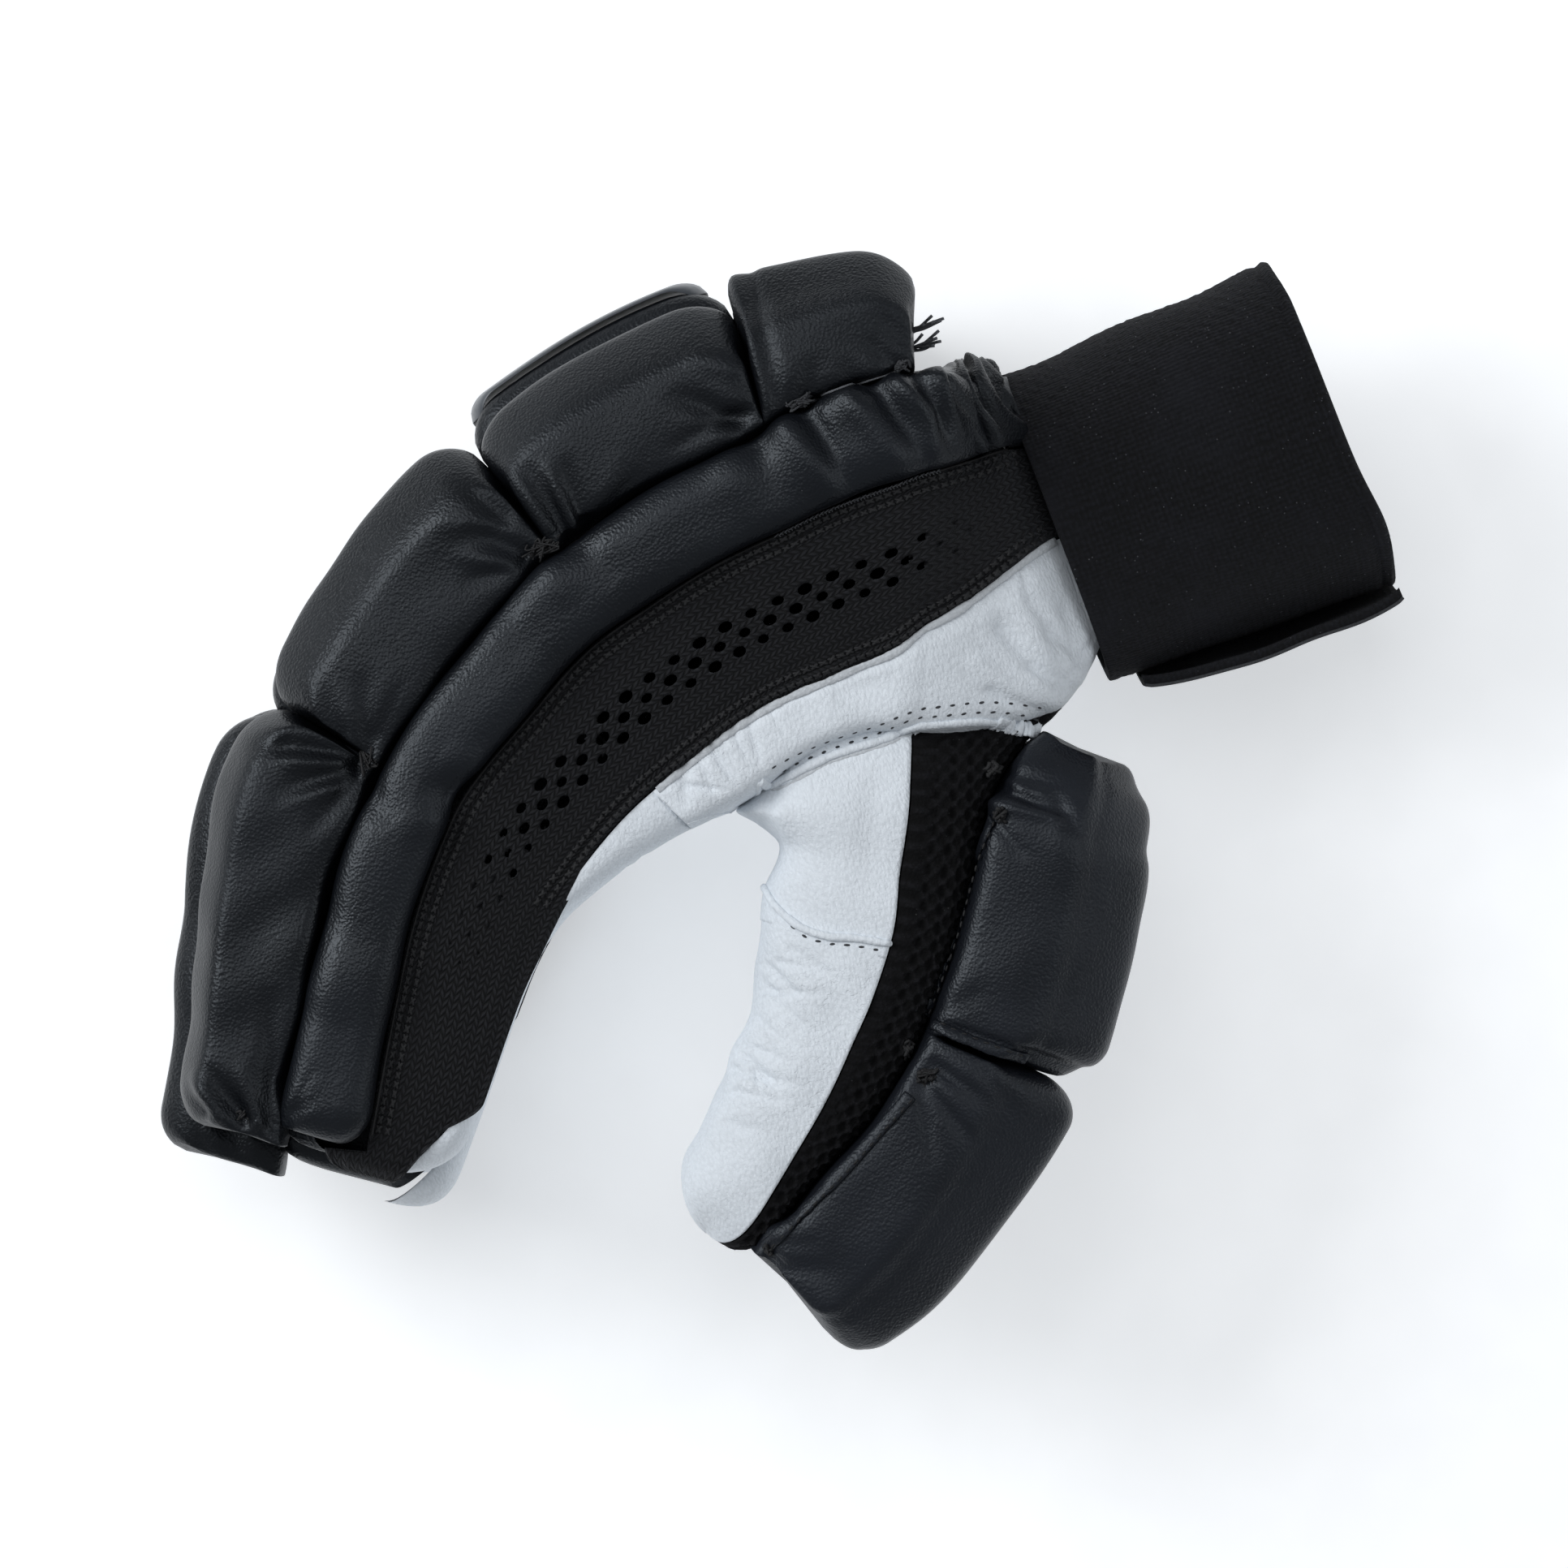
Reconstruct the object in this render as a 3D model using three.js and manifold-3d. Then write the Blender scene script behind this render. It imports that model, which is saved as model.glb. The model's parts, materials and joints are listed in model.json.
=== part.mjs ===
// A right-hand cricket batting glove, lying on its little-finger side with the thumb uppermost.
// Millimetres, +Z up. The fingers and the thumb curl in the XY plane, the wristband points along +X.
//
// Every piece is drawn flat, as (run, rise, across), and then bent along a centreline:
// run is the way from the wristband's edge towards the fingertips, rise the way from the
// centreline to the back of the hand, and across the way from the middle of the hand to
// the index-finger side. The thumb has a centreline of its own.

import * as THREE from 'three';
import { mergeVertices } from 'three/addons/utils/BufferGeometryUtils.js';
import Module from 'manifold-3d';

const wasm = await Module();
wasm.setup();

// Wristband
const cuffLength = 71;
const cuffArmHeight = 82;
const cuffHandHeight = 76;
const cuffArmThickness = 47;
const cuffHandThickness = 52;
const cuffWall = 3;
const tabWall = 2.2;
const tabStandOff = 5.5;
const tabMargin = 7;
const wristTuck = 9;
const wristFlare = 12;

// Hand and fingers: the arcs of the centreline, in millimetres and degrees
const wristArc = { length: 30, turn: -24 };
const backArc = { length: 55, turn: 34 };
const knuckleArc = { length: 60, turn: 22 };
const jointArc = { length: 50, turn: 20.5 };
const tipArc = { length: 48, turn: 2 };
const sleeveRise = 25;
const fingerPitch = 22;
const crotchRun = 125;
const indexLength = 118;
const tipRound = 13;

// Thumb
const thumbRootRun = 29.5;
const thumbSplay = 70;
const thumbRootArc = { length: 35, turn: 11.3 };
const thumbMiddleArc = { length: 55, turn: -11.7 };
const thumbTipArc = { length: 47, turn: -15.6 };
const thumbRise = 22;
const thumbWidth = 38;
const thumbTipRound = 16;
const thumbSeamRun = 58;
const thumbDip = 11;
const thumbDipRun = 30;
const hemSlant = 0.5;
const hemTuck = 6;
const hemFade = 36;
const thumbRollLead = 3;
const thumbRollPast = 4;
const thumbRollLean = 8;

// Walls, padding and clearances
const leatherWall = 1.8;
const meshWall = 1.8;
const backWall = 1.8;
const barThickness = 8.5;
const barStart = 10;
const rollSpread = 3.5;
const rollHeight = 34;
const rollRound = 7;
const thumbRollHeight = 41;
const thumbRollWidth = 45;
const skirtWall = 2;
const skirtLift = 6.5;
const ruffle = 1.4;
const plateWall = 1.6;
const eyeletRadius = 1.5;
const eyeletPitch = 6.6;
const eyeletRowPitch = 5;
const stationPitch = 13;
const seamGap = 0.35;
const rollSeatGap = 0.9;
const rollGap = 0.6;
const rowGap = 1.4;
const thumbSideGap = 0.7;
const thumbHoleGap = 0.8;
const thumbSeatGap = 0.55;
const backEdgeGap = 0.8;

// Fingers: past is the length beyond the crotch as a share of indexLength, and lift the extra
// height of the rolls as a share of rollHeight.
const fingers = [
  { name: 'little', past: 0.81, lift: -0.15 },
  { name: 'ring', past: 1.02, lift: 0.09 },
  { name: 'middle', past: 1.07, lift: 0.12 },
  { name: 'index', past: 1, lift: 0 },
];

// Rows of finger rolls, from the wristband to the fingertips: ends as shares of the index
// finger's whole run, and the share of the height at which the rounded shoulder starts.
const rollRows = [
  { name: 'cuff_roll', from: 0.14, to: 0.247, shoulder: 0.6 },
  { name: 'hand_roll', from: 0.247, to: 0.432, shoulder: 0.66 },
  { name: 'knuckle_roll', from: 0.432, to: 0.654, shoulder: 0.66 },
  { name: 'tip_roll', from: 0.654, to: 1, shoulder: 0.8 },
];

// Where the sleeve goes into the wristband, as shares of the wristband's inside.
const tuck = { top: 0.77, bar: 0.57, palm: -0.07, belly: -0.84, half: 0.75 };

// The hand sleeve in section. at is a share of the index finger's whole run; top (seam between
// rolls and side bar), bar (seam between side bar and mesh), palm (seam between mesh and
// leather) and belly (lowest palm) are shares of sleeveRise; girth is the share of the full
// width; crown is the height of the rolls over top, as a share of rollHeight.
const sleeveTable = [
  { at: 0.00, top: 1.34, bar: 0.84, palm: -0.10, belly: -1.62, girth: 0.64, crown: 0.40 },
  { at: 0.05, top: 1.50, bar: 0.82, palm: -0.26, belly: -1.70, girth: 0.75, crown: 0.50 },
  { at: 0.12, top: 1.62, bar: 0.70, palm: -0.72, belly: -1.76, girth: 0.95, crown: 0.60 },
  { at: 0.16, top: 1.54, bar: 0.54, palm: -0.96, belly: -1.75, girth: 1.00, crown: 0.76 },
  { at: 0.22, top: 1.35, bar: 0.38, palm: -1.08, belly: -1.73, girth: 1.00, crown: 0.90 },
  { at: 0.27, top: 1.17, bar: 0.28, palm: -1.13, belly: -1.73, girth: 1.00, crown: 1.04 },
  { at: 0.39, top: 1.14, bar: 0.24, palm: -1.12, belly: -1.76, girth: 1.00, crown: 1.03 },
  { at: 0.46, top: 1.12, bar: 0.27, palm: -1.12, belly: -1.72, girth: 1.00, crown: 1.04 },
  { at: 0.55, top: 1.05, bar: 0.22, palm: -1.06, belly: -1.50, girth: 1.00, crown: 1.04 },
  { at: 0.64, top: 1.02, bar: 0.25, palm: -1.02, belly: -1.26, girth: 1.00, crown: 0.95 },
  { at: 0.70, top: 0.99, bar: 0.20, palm: -0.97, belly: -1.10, girth: 1.00, crown: 1.00 },
  { at: 0.80, top: 0.92, bar: 0.12, palm: -0.90, belly: -1.00, girth: 1.00, crown: 0.87 },
  { at: 0.90, top: 0.86, bar: 0.04, palm: -0.84, belly: -0.94, girth: 1.00, crown: 0.76 },
  { at: 0.95, top: 0.84, bar: 0.00, palm: -0.66, belly: -0.90, girth: 1.00, crown: 0.72 },
  { at: 1.00, top: 0.82, bar: -0.04, palm: -0.40, belly: -0.84, girth: 1.00, crown: 0.70 },
];

// The thumb in section: at is a share of the thumb's run; front (leather side), split (seam
// between leather and mesh) and seat (seam between mesh and rolls) are shares of thumbRise;
// width is a share of thumbWidth; crown is the height of the rolls over seat and shoulder the
// height of their near edge, as shares of thumbRollHeight.
const thumbTable = [
  { at: -0.04, front: -1.36, split: -0.10, seat: 1.42, width: 1.00, crown: 0.52, shoulder: 0.30 },
  { at: 0.00, front: -1.36, split: -0.08, seat: 1.42, width: 1.00, crown: 0.68, shoulder: 0.40 },
  { at: 0.04, front: -1.36, split: -0.05, seat: 1.42, width: 1.00, crown: 0.82, shoulder: 0.46 },
  { at: 0.09, front: -1.38, split: 0.06, seat: 1.18, width: 1.00, crown: 0.90, shoulder: 0.50 },
  { at: 0.18, front: -1.46, split: 0.20, seat: 1.02, width: 1.00, crown: 0.97, shoulder: 0.55 },
  { at: 0.22, front: -1.56, split: 0.24, seat: 1.02, width: 1.00, crown: 0.99, shoulder: 0.57 },
  { at: 0.26, front: -1.32, split: 0.26, seat: 1.02, width: 1.00, crown: 1.00, shoulder: 0.57 },
  { at: 0.31, front: -1.04, split: 0.28, seat: 1.02, width: 0.99, crown: 1.00, shoulder: 0.57 },
  { at: 0.40, front: -1.06, split: 0.36, seat: 1.01, width: 0.97, crown: 1.02, shoulder: 0.58 },
  { at: 0.52, front: -0.93, split: 0.36, seat: 0.98, width: 0.95, crown: 1.02, shoulder: 0.57 },
  { at: 0.60, front: -0.80, split: 0.33, seat: 0.93, width: 0.93, crown: 1.00, shoulder: 0.51 },
  { at: 0.70, front: -0.82, split: 0.31, seat: 0.82, width: 0.90, crown: 1.00, shoulder: 0.52 },
  { at: 0.80, front: -0.76, split: 0.28, seat: 0.63, width: 0.87, crown: 1.01, shoulder: 0.57 },
  { at: 0.90, front: -0.70, split: 0.29, seat: 0.53, width: 0.84, crown: 1.00, shoulder: 0.58 },
  { at: 1.00, front: -0.60, split: 0.36, seat: 0.60, width: 0.80, crown: 0.82, shoulder: 0.50 },
];

// Sizes worked out from the ones above
const handArcs = [wristArc, backArc, knuckleArc, jointArc, tipArc];
const thumbArcs = [thumbRootArc, thumbMiddleArc, thumbTipArc];
const sleeveRun = crotchRun + indexLength;
const thumbRun = thumbArcs.reduce((total, arc) => total + arc.length, 0);
const handHalf = 2 * fingerPitch;
const handCentre = handHalf + barThickness;
const rollPitch = fingerPitch + rollSpread;
const lerp = THREE.MathUtils.lerp;

// A smooth curve through one column of a table, held at its first and last rows.
function curve(table, key) {
  const slope = (i) => {
    const a = table[Math.max(i - 1, 0)];
    const b = table[Math.min(i + 1, table.length - 1)];
    return (b[key] - a[key]) / (b.at - a.at);
  };
  return (at) => {
    const last = table.length - 1;
    const share = THREE.MathUtils.clamp(at, table[0].at, table[last].at);
    let i = 0;
    while (i < last - 1 && share > table[i + 1].at) i += 1;
    const [a, b] = [table[i], table[i + 1]];
    const width = b.at - a.at;
    const t = (share - a.at) / width;
    const [t2, t3] = [t * t, t * t * t];
    return (2 * t3 - 3 * t2 + 1) * a[key] + (t3 - 2 * t2 + t) * width * slope(i)
      + (3 * t2 - 2 * t3) * b[key] + (t3 - t2) * width * slope(i + 1);
  };
}

// A chain of arcs from a point and a heading: gives the place and heading at any length,
// straight on before its start and past its end.
function centreline(start, heading, arcs) {
  const knots = [{ s: 0, x: start.x, y: start.y, heading }];
  const step = (knot, length, turn) => {
    const end = knot.heading + turn * length;
    const straight = Math.abs(turn) < 1e-9;
    return {
      s: knot.s + length,
      x: knot.x + (straight ? length * Math.cos(knot.heading)
        : (Math.sin(end) - Math.sin(knot.heading)) / turn),
      y: knot.y + (straight ? length * Math.sin(knot.heading)
        : (Math.cos(knot.heading) - Math.cos(end)) / turn),
      heading: end,
    };
  };
  const turns = arcs.map((arc) => THREE.MathUtils.degToRad(arc.turn) / arc.length);
  arcs.forEach((arc, i) => knots.push(step(knots[i], arc.length, turns[i])));
  return (s) => {
    if (s <= 0) return step(knots[0], s, 0);
    const i = arcs.findIndex((arc, j) => s <= knots[j + 1].s);
    if (i < 0) return step(knots.at(-1), s - knots.at(-1).s, 0);
    return step(knots[i], s - knots[i].s, turns[i]);
  };
}

// Hand: the sleeve comes out of the wristband's inside and opens to its own section.
const handLine = centreline({ x: -cuffLength, y: 0 }, Math.PI, handArcs);
const emerge = (run) => {
  const t = THREE.MathUtils.clamp(run / wristFlare, 0, 1);
  return t * (2 - t);
};
const seamLine = (key) => {
  const free = curve(sleeveTable, key);
  const inside = tuck[key] * (cuffHandHeight / 2 - cuffWall);
  return (run) => lerp(inside, sleeveRise * free(run / sleeveRun), emerge(run));
};
const [top, bar, palm, belly] = ['top', 'bar', 'palm', 'belly'].map(seamLine);
const girthCurve = curve(sleeveTable, 'girth');
const crownCurve = curve(sleeveTable, 'crown');
const tuckGirth = (tuck.half * (cuffHandThickness / 2 - cuffWall)) / handHalf;
const girth = (run) => lerp(tuckGirth, Math.min(1, girthCurve(run / sleeveRun)), emerge(run));
const crown = (k, run) => rollHeight * (crownCurve(run / sleeveRun) + fingers[k].lift);

function bend(line, run, rise, z) {
  const { x, y, heading } = line(run);
  return new THREE.Vector3(x + rise * Math.sin(heading), y - rise * Math.cos(heading), z);
}

const handPoint = (run, rise, across) => bend(
  handLine, run, rise, handCentre + across * girth(run),
);

// A finger's own run stretches past the crotch to its own length. Its sleeve closes about its
// middle by the share close, which its rolls and bars don't.
const fingerCentre = (k) => (k - 1.5) * fingerPitch;
const stretched = (k, run) => (run <= crotchRun ? run
  : crotchRun + (run - crotchRun) * fingers[k].past);
function fingerPoint(k, { run, close }, rise, across) {
  const middle = (bar(run) + palm(run)) / 2;
  const centre = fingerCentre(k);
  return handPoint(
    stretched(k, run),
    middle + (rise - middle) * close,
    centre + (across - centre) * close,
  );
}

// Thumb: rooted on the palm side of the hand's centreline. Its base is cut slantwise along the
// palm's hem, and dips towards the middle of the palm.
const thumbRootDepth = -0.784 * belly(thumbRootRun);
const hemRun = 1.24 * (-belly(thumbRootRun) - thumbRootDepth);
const thumbBase = hemRun - hemTuck;
const root = handLine(thumbRootRun);
const thumbLine = centreline(
  bend(handLine, thumbRootRun, -thumbRootDepth, 0),
  root.heading + THREE.MathUtils.degToRad(thumbSplay),
  thumbArcs,
);
const thumbCurve = (key, size) => {
  const share = curve(thumbTable, key);
  return (run) => size * share(run / thumbRun);
};
const front = thumbCurve('front', thumbRise);
const split = thumbCurve('split', thumbRise);
const seat = thumbCurve('seat', thumbRise);
const thumbHalf = thumbCurve('width', thumbWidth / 2);
const thumbCrown = thumbCurve('crown', thumbRollHeight);
const thumbShoulder = thumbCurve('shoulder', thumbRollHeight);
const thumbCentre = handCentre + handHalf - leatherWall - thumbSideGap - thumbWidth / 2;
const slant = (run) => hemSlant * Math.max(0, 1 - (run - thumbBase) / hemFade);

function thumbBend(run, rise, across) {
  const dip = thumbDip * Math.max(0, 1 - run / thumbDipRun) ** 2;
  return bend(thumbLine, run, -rise, thumbCentre - dip + across);
}

function thumbPoint({ run, close }, rise, across) {
  const middle = (front(run) + seat(run)) / 2;
  const out = middle + (rise - middle) * close;
  return thumbBend(run - slant(run) * out, out, across * close);
}

// Height of the thumb's roll seat over a place on its centreline, once the base is slanted.
function seatUnder(run) {
  let flat = run;
  for (let i = 0; i < 6; i += 1) flat = run + slant(flat) * seat(flat);
  return seat(flat);
}

const range = (count) => Array.from({ length: count }, (_, i) => i);
const spread = (from, to, count) => range(count).map((i) => from + ((to - from) * i) / (count - 1));
const steps = (from, to) => spread(from, to, Math.max(2, Math.ceil((to - from) / stationPitch) + 1));
const open = (run) => ({ run, close: 1 });

// Stations to the end of a finger or thumb, where it rounds off as a quarter ellipse. The
// inside ends a wall's thickness short.
function tipStations(from, to, round, wallInset) {
  const tip = [0.45, 0.75, 0.93, 0.995].map((t) => ({
    run: to - round + t * (round - wallInset),
    close: Math.sqrt(1 - t * t),
  }));
  return [...steps(from, to - round).map(open), ...tip];
}

// A closed mesh from points and triangles, turned so that its faces point out.
function solid(points, index) {
  const volume = range(index.length / 3).reduce((total, i) => {
    const [a, b, c] = [0, 1, 2].map((k) => points[index[3 * i + k]]);
    return total + a.dot(b.clone().cross(c));
  }, 0);
  const geometry = new THREE.BufferGeometry().setFromPoints(points);
  geometry.setIndex(volume < 0 ? index.toReversed() : index);
  geometry.computeVertexNormals();
  return geometry;
}

// A wall between an outer and an inner grid of points. With ring, each row closes on itself.
function wall(outer, inner, ring = false) {
  const [rows, cols] = [outer.length, outer[0].length];
  const index = [];
  const quad = (a, b, c, d) => index.push(a, b, c, a, c, d);
  const at = (side, i, j) => (side * rows + i) * cols + (j % cols);
  const spans = ring ? cols : cols - 1;
  for (const i of range(rows - 1)) {
    for (const j of range(spans)) {
      quad(at(0, i, j), at(0, i, j + 1), at(0, i + 1, j + 1), at(0, i + 1, j));
      quad(at(1, i, j), at(1, i + 1, j), at(1, i + 1, j + 1), at(1, i, j + 1));
    }
    if (!ring) {
      quad(at(0, i, 0), at(0, i + 1, 0), at(1, i + 1, 0), at(1, i, 0));
      quad(at(0, i, cols - 1), at(1, i, cols - 1), at(1, i + 1, cols - 1), at(0, i + 1, cols - 1));
    }
  }
  for (const j of range(spans)) {
    quad(at(0, 0, j), at(1, 0, j), at(1, 0, j + 1), at(0, 0, j + 1));
    quad(at(0, rows - 1, j), at(0, rows - 1, j + 1), at(1, rows - 1, j + 1), at(1, rows - 1, j));
  }
  return solid([...outer.flat(), ...inner.flat()], index);
}

// A solid through closed sections, with a fan over each end. From the column turned on, each
// quad is split along its other diagonal.
function loft(sections, turned = Infinity) {
  const cols = sections[0].length;
  const index = [];
  for (const i of range(sections.length - 1))
    for (const j of range(cols)) {
      const [a, b] = [i * cols + j, i * cols + ((j + 1) % cols)];
      if (j < turned) index.push(a, b, b + cols, a, b + cols, a + cols);
      else index.push(a, b, a + cols, b, b + cols, a + cols);
    }
  const lastRow = (sections.length - 1) * cols;
  for (const j of range(cols - 2)) {
    index.push(0, j + 2, j + 1);
    index.push(lastRow, lastRow + j + 1, lastRow + j + 2);
  }
  return solid(sections.flat(), index);
}

// Lower half of a section as a superellipse: (rise, across) from the near lip, down to low and
// up to the far lip. A high power makes a square corner.
function trough(lip, low, half, count, nearPower, farPower) {
  return spread(0, Math.PI, count).map((angle) => {
    const power = 2 / (angle < Math.PI / 2 ? nearPower : farPower);
    const across = Math.sign(Math.cos(angle)) * Math.abs(Math.cos(angle)) ** power;
    return [lip - (lip - low) * Math.max(Math.sin(angle), 0) ** power, half * across];
  });
}

// Upper half of a section, from the near lip over high and down to the far lip.
const arch = (lip, high, half, count, power) => trough(-lip, -high, half, count, power, power)
  .map(([rise, across]) => [-rise, across]);

// Cuts each corner of a closed outline by a share of its edges.
function softened(corners, share) {
  const near = (a, b) => a.map((value, i) => lerp(value, b[i], share));
  return corners.flatMap((corner, i) => {
    const before = corners[(i + corners.length - 1) % corners.length];
    const after = corners[(i + 1) % corners.length];
    return [near(corner, before), near(corner, after)];
  });
}

const materials = {
  roll: new THREE.MeshStandardMaterial({ color: 0x1d1f22, roughness: 0.48 }),
  bar: new THREE.MeshStandardMaterial({ color: 0x202327, roughness: 0.5 }),
  leather: new THREE.MeshStandardMaterial({ color: 0xd9dde0, roughness: 0.6 }),
  mesh: new THREE.MeshStandardMaterial({ color: 0x0d0d0f, roughness: 0.9 }),
  towelling: new THREE.MeshStandardMaterial({ color: 0x0b0b0d, roughness: 0.95 }),
  plate: new THREE.MeshStandardMaterial({ color: 0x5a626b, roughness: 0.3 }),
};

const glove = new THREE.Group();
glove.name = 'glove';

function add(name, geometry, material) {
  const mesh = new THREE.Mesh(geometry, materials[material]);
  mesh.name = name;
  glove.add(mesh);
}

// The two cuts: the thumb's hole in the palm, and the eyelets in the mesh.
function toManifold(geometry) {
  const bare = new THREE.BufferGeometry();
  bare.setAttribute('position', geometry.getAttribute('position'));
  bare.setIndex(geometry.index);
  const merged = mergeVertices(bare, 1e-4);
  return new wasm.Manifold(new wasm.Mesh({
    numProp: 3,
    vertProperties: merged.attributes.position.array,
    triVerts: new Uint32Array(merged.index.array),
  }));
}

function subtract(geometry, tools) {
  const cut = tools.reduce((left, tool) => left.subtract(toManifold(tool)), toManifold(geometry));
  const { vertProperties, triVerts } = cut.getMesh();
  const made = new THREE.BufferGeometry();
  made.setAttribute('position', new THREE.BufferAttribute(new Float32Array(vertProperties), 3));
  made.setIndex(new THREE.BufferAttribute(new Uint32Array(triVerts), 1));
  made.computeVertexNormals();
  return made;
}

// Wristband: a flattened tube, open at both ends, and its closing tab round the palm side.
const bulge = (value) => Math.sign(value) * Math.abs(value) ** 0.8;
function cuffPoint(run, angle, offset) {
  const share = -run / cuffLength;
  const high = lerp(cuffHandHeight, cuffArmHeight, share) / 2 + offset;
  const deep = lerp(cuffHandThickness, cuffArmThickness, share) / 2 + offset;
  return bend(
    handLine, run, high * bulge(Math.sin(angle)), handCentre + deep * bulge(Math.cos(angle)),
  );
}

function wristband() {
  const angles = range(26).map((i) => (2 * Math.PI * i) / 26);
  const rows = (offset) => [0, -0.06, -0.4, -1].map((share) => angles
    .map((angle) => cuffPoint(share * cuffLength, angle, offset)));
  return wall(rows(0), rows(-cuffWall), true);
}

function closureTab() {
  const runs = spread(-tabMargin, -cuffLength, 4);
  const turns = spread(0, 1, 9);
  const grid = (extra) => runs.map((run) => turns.map((turn) => cuffPoint(
    run,
    -1.28 - 1.28 * turn,
    seamGap + tabStandOff * (1 - turn) ** 2 + extra,
  )));
  return wall(grid(tabWall), grid(0));
}

const thumbBaseRuns = spread(thumbBase, thumbBase + hemFade, 5);
const thumbColumns = 9;

// The thumb's outer form with a clearance, for its hole in the palm. Its faces are split as
// those of the thumb's leather and mesh are.
function thumbEnvelope(clear) {
  const runs = [thumbBase - hemTuck, ...thumbBaseRuns, thumbSeamRun];
  return loft(runs.map((run) => {
    const half = thumbHalf(run) + clear;
    const low = trough(split(run), front(run) - clear, half, thumbColumns, 3.2, 3.2);
    const high = arch(split(run), seat(run) + clear, half, thumbColumns, 6).reverse();
    return [...low, ...high.slice(1, -1)].map(([rise, across]) => thumbPoint(open(run), rise, across));
  }), thumbColumns - 1);
}

// Stations that all the sleeve's pieces share: inside the wristband, up to the crotch, and on.
const cuffRuns = [-wristTuck, 0, wristFlare / 4, wristFlare / 2];
const palmRuns = [...cuffRuns, ...steps(wristFlare, crotchRun - seamGap)];
const fingerStations = (inset) => tipStations(crotchRun + seamGap, sleeveRun, tipRound, inset);

function palmLeather() {
  const grid = (inset) => palmRuns.map((run) => trough(
    palm(run) - seamGap, belly(run) + inset, handHalf - inset / girth(run), 13, 8, 4,
  ).map(([rise, across]) => handPoint(run, rise, across)));
  return subtract(wall(grid(0), grid(leatherWall)), [thumbEnvelope(thumbHoleGap)]);
}

function handBack() {
  const grid = (drop) => palmRuns.map((run) => {
    const edge = handHalf - (leatherWall + backEdgeGap) / girth(run);
    return [edge, -edge].map((across) => handPoint(run, top(run) - drop, across));
  });
  return wall(grid(0), grid(backWall));
}

// A flat side wall of mesh between the side bar and the palm leather, from the wristband to
// the fingertip.
function gusset(k, side) {
  const grid = (inset) => [...palmRuns.map(open), ...fingerStations(inset)].map((station) => spread(bar(station.run), palm(station.run), 3).map((rise) => fingerPoint(
    k, station, rise, side * (handHalf - inset / girth(station.run)),
  )));
  return wall(grid(0), grid(meshWall));
}

// Six-sided pins through the mesh, in three staggered lines along the hand.
function eyelets(k, side) {
  const [from, to] = [rollRows[0].from * sleeveRun, 0.71 * sleeveRun];
  const count = Math.floor((to - from) / eyeletPitch);
  return [-1, 0, 1].flatMap((line) => range(count).map((i) => {
    const station = open(from + (i + (line === 0 ? 0.5 : 0)) * eyeletPitch);
    const rise = (bar(station.run) + palm(station.run)) / 2 + line * eyeletRowPitch;
    const inner = fingerPoint(k, station, rise, side * (handHalf - meshWall - 1));
    const outer = fingerPoint(k, station, rise, side * (handHalf + 1));
    const pin = new THREE.CylinderGeometry(eyeletRadius, eyeletRadius, meshWall + 2, 6);
    const way = outer.clone().sub(inner).normalize();
    const turn = new THREE.Quaternion().setFromUnitVectors(new THREE.Vector3(0, 1, 0), way);
    const middle = inner.lerp(outer, 0.5);
    pin.applyQuaternion(turn).translate(middle.x, middle.y, middle.z);
    pin.deleteAttribute('normal');
    pin.deleteAttribute('uv');
    return mergeVertices(pin, 1e-4);
  }));
}

function fingerLeather(k) {
  const half = fingerPitch / 2 - seamGap;
  const grid = (inset) => fingerStations(inset)
    .map((station) => {
      const lip = palm(station.run) - seamGap / station.close;
      return trough(lip, belly(station.run) + inset, half - inset, 7, 2.6, 2.6)
        .map(([rise, across]) => fingerPoint(k, station, rise, fingerCentre(k) + across));
    });
  return wall(grid(0), grid(leatherWall));
}

// Back and side walls of a finger under its rolls. On the two outer fingers the mesh and the
// side bar close the outer side, so their back wall stops short of it.
function fingerBack(k) {
  const half = fingerPitch / 2 - seamGap;
  const side = { 0: -1, 3: 1 }[k];
  const grid = (inset) => fingerStations(inset)
    .map((station) => {
      const { run, close } = station;
      const whole = arch(palm(run), top(run) - inset, half - inset, 7, 7);
      const edge = half - leatherWall - seamGap / close;
      const outline = side ? [[top(run) - inset, edge], ...whole.slice(3)] : whole;
      return outline.map(([rise, across]) => fingerPoint(
        k, station, rise, fingerCentre(k) + (side ?? 1) * across,
      ));
    });
  return wall(grid(0), grid(backWall));
}

// Padded bar along the outer side, between the rolls and the mesh. The glove lies on the
// little finger's bar, so the outside of that one is flat.
function sideBar(k, side) {
  const end = sleeveRun - tipRound / 3;
  const puff = side > 0 ? [0.45, 0.86, 1, 1, 0.86, 0.45] : [0.45, 1, 1, 1, 1, 0.45];
  const heights = [0, 0.12, 0.34, 0.66, 0.88, 1];
  const runs = [
    barStart,
    ...palmRuns.slice(cuffRuns.length),
    ...steps(crotchRun + seamGap, sleeveRun - tipRound),
    end - 2.5,
    end,
  ];
  return loft(runs.map((run) => {
    const rounding = Math.min(1, (run - barStart + 3) / 12, (end - run + 2.2) / 8);
    const fade = side > 0 ? Math.sqrt(1 - (1 - rounding) ** 2) : 1;
    const [low, high] = [bar(run) + seamGap, top(run) - seamGap];
    const inner = handHalf - meshWall / girth(run);
    const outside = heights.map((share, i) => [
      lerp(low, high, share), handHalf + barThickness * puff[i] * fade,
    ]);
    return [[low, inner], ...outside, [high, inner]]
      .map(([rise, across]) => handPoint(stretched(k, run), rise, side * across));
  }));
}

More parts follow.
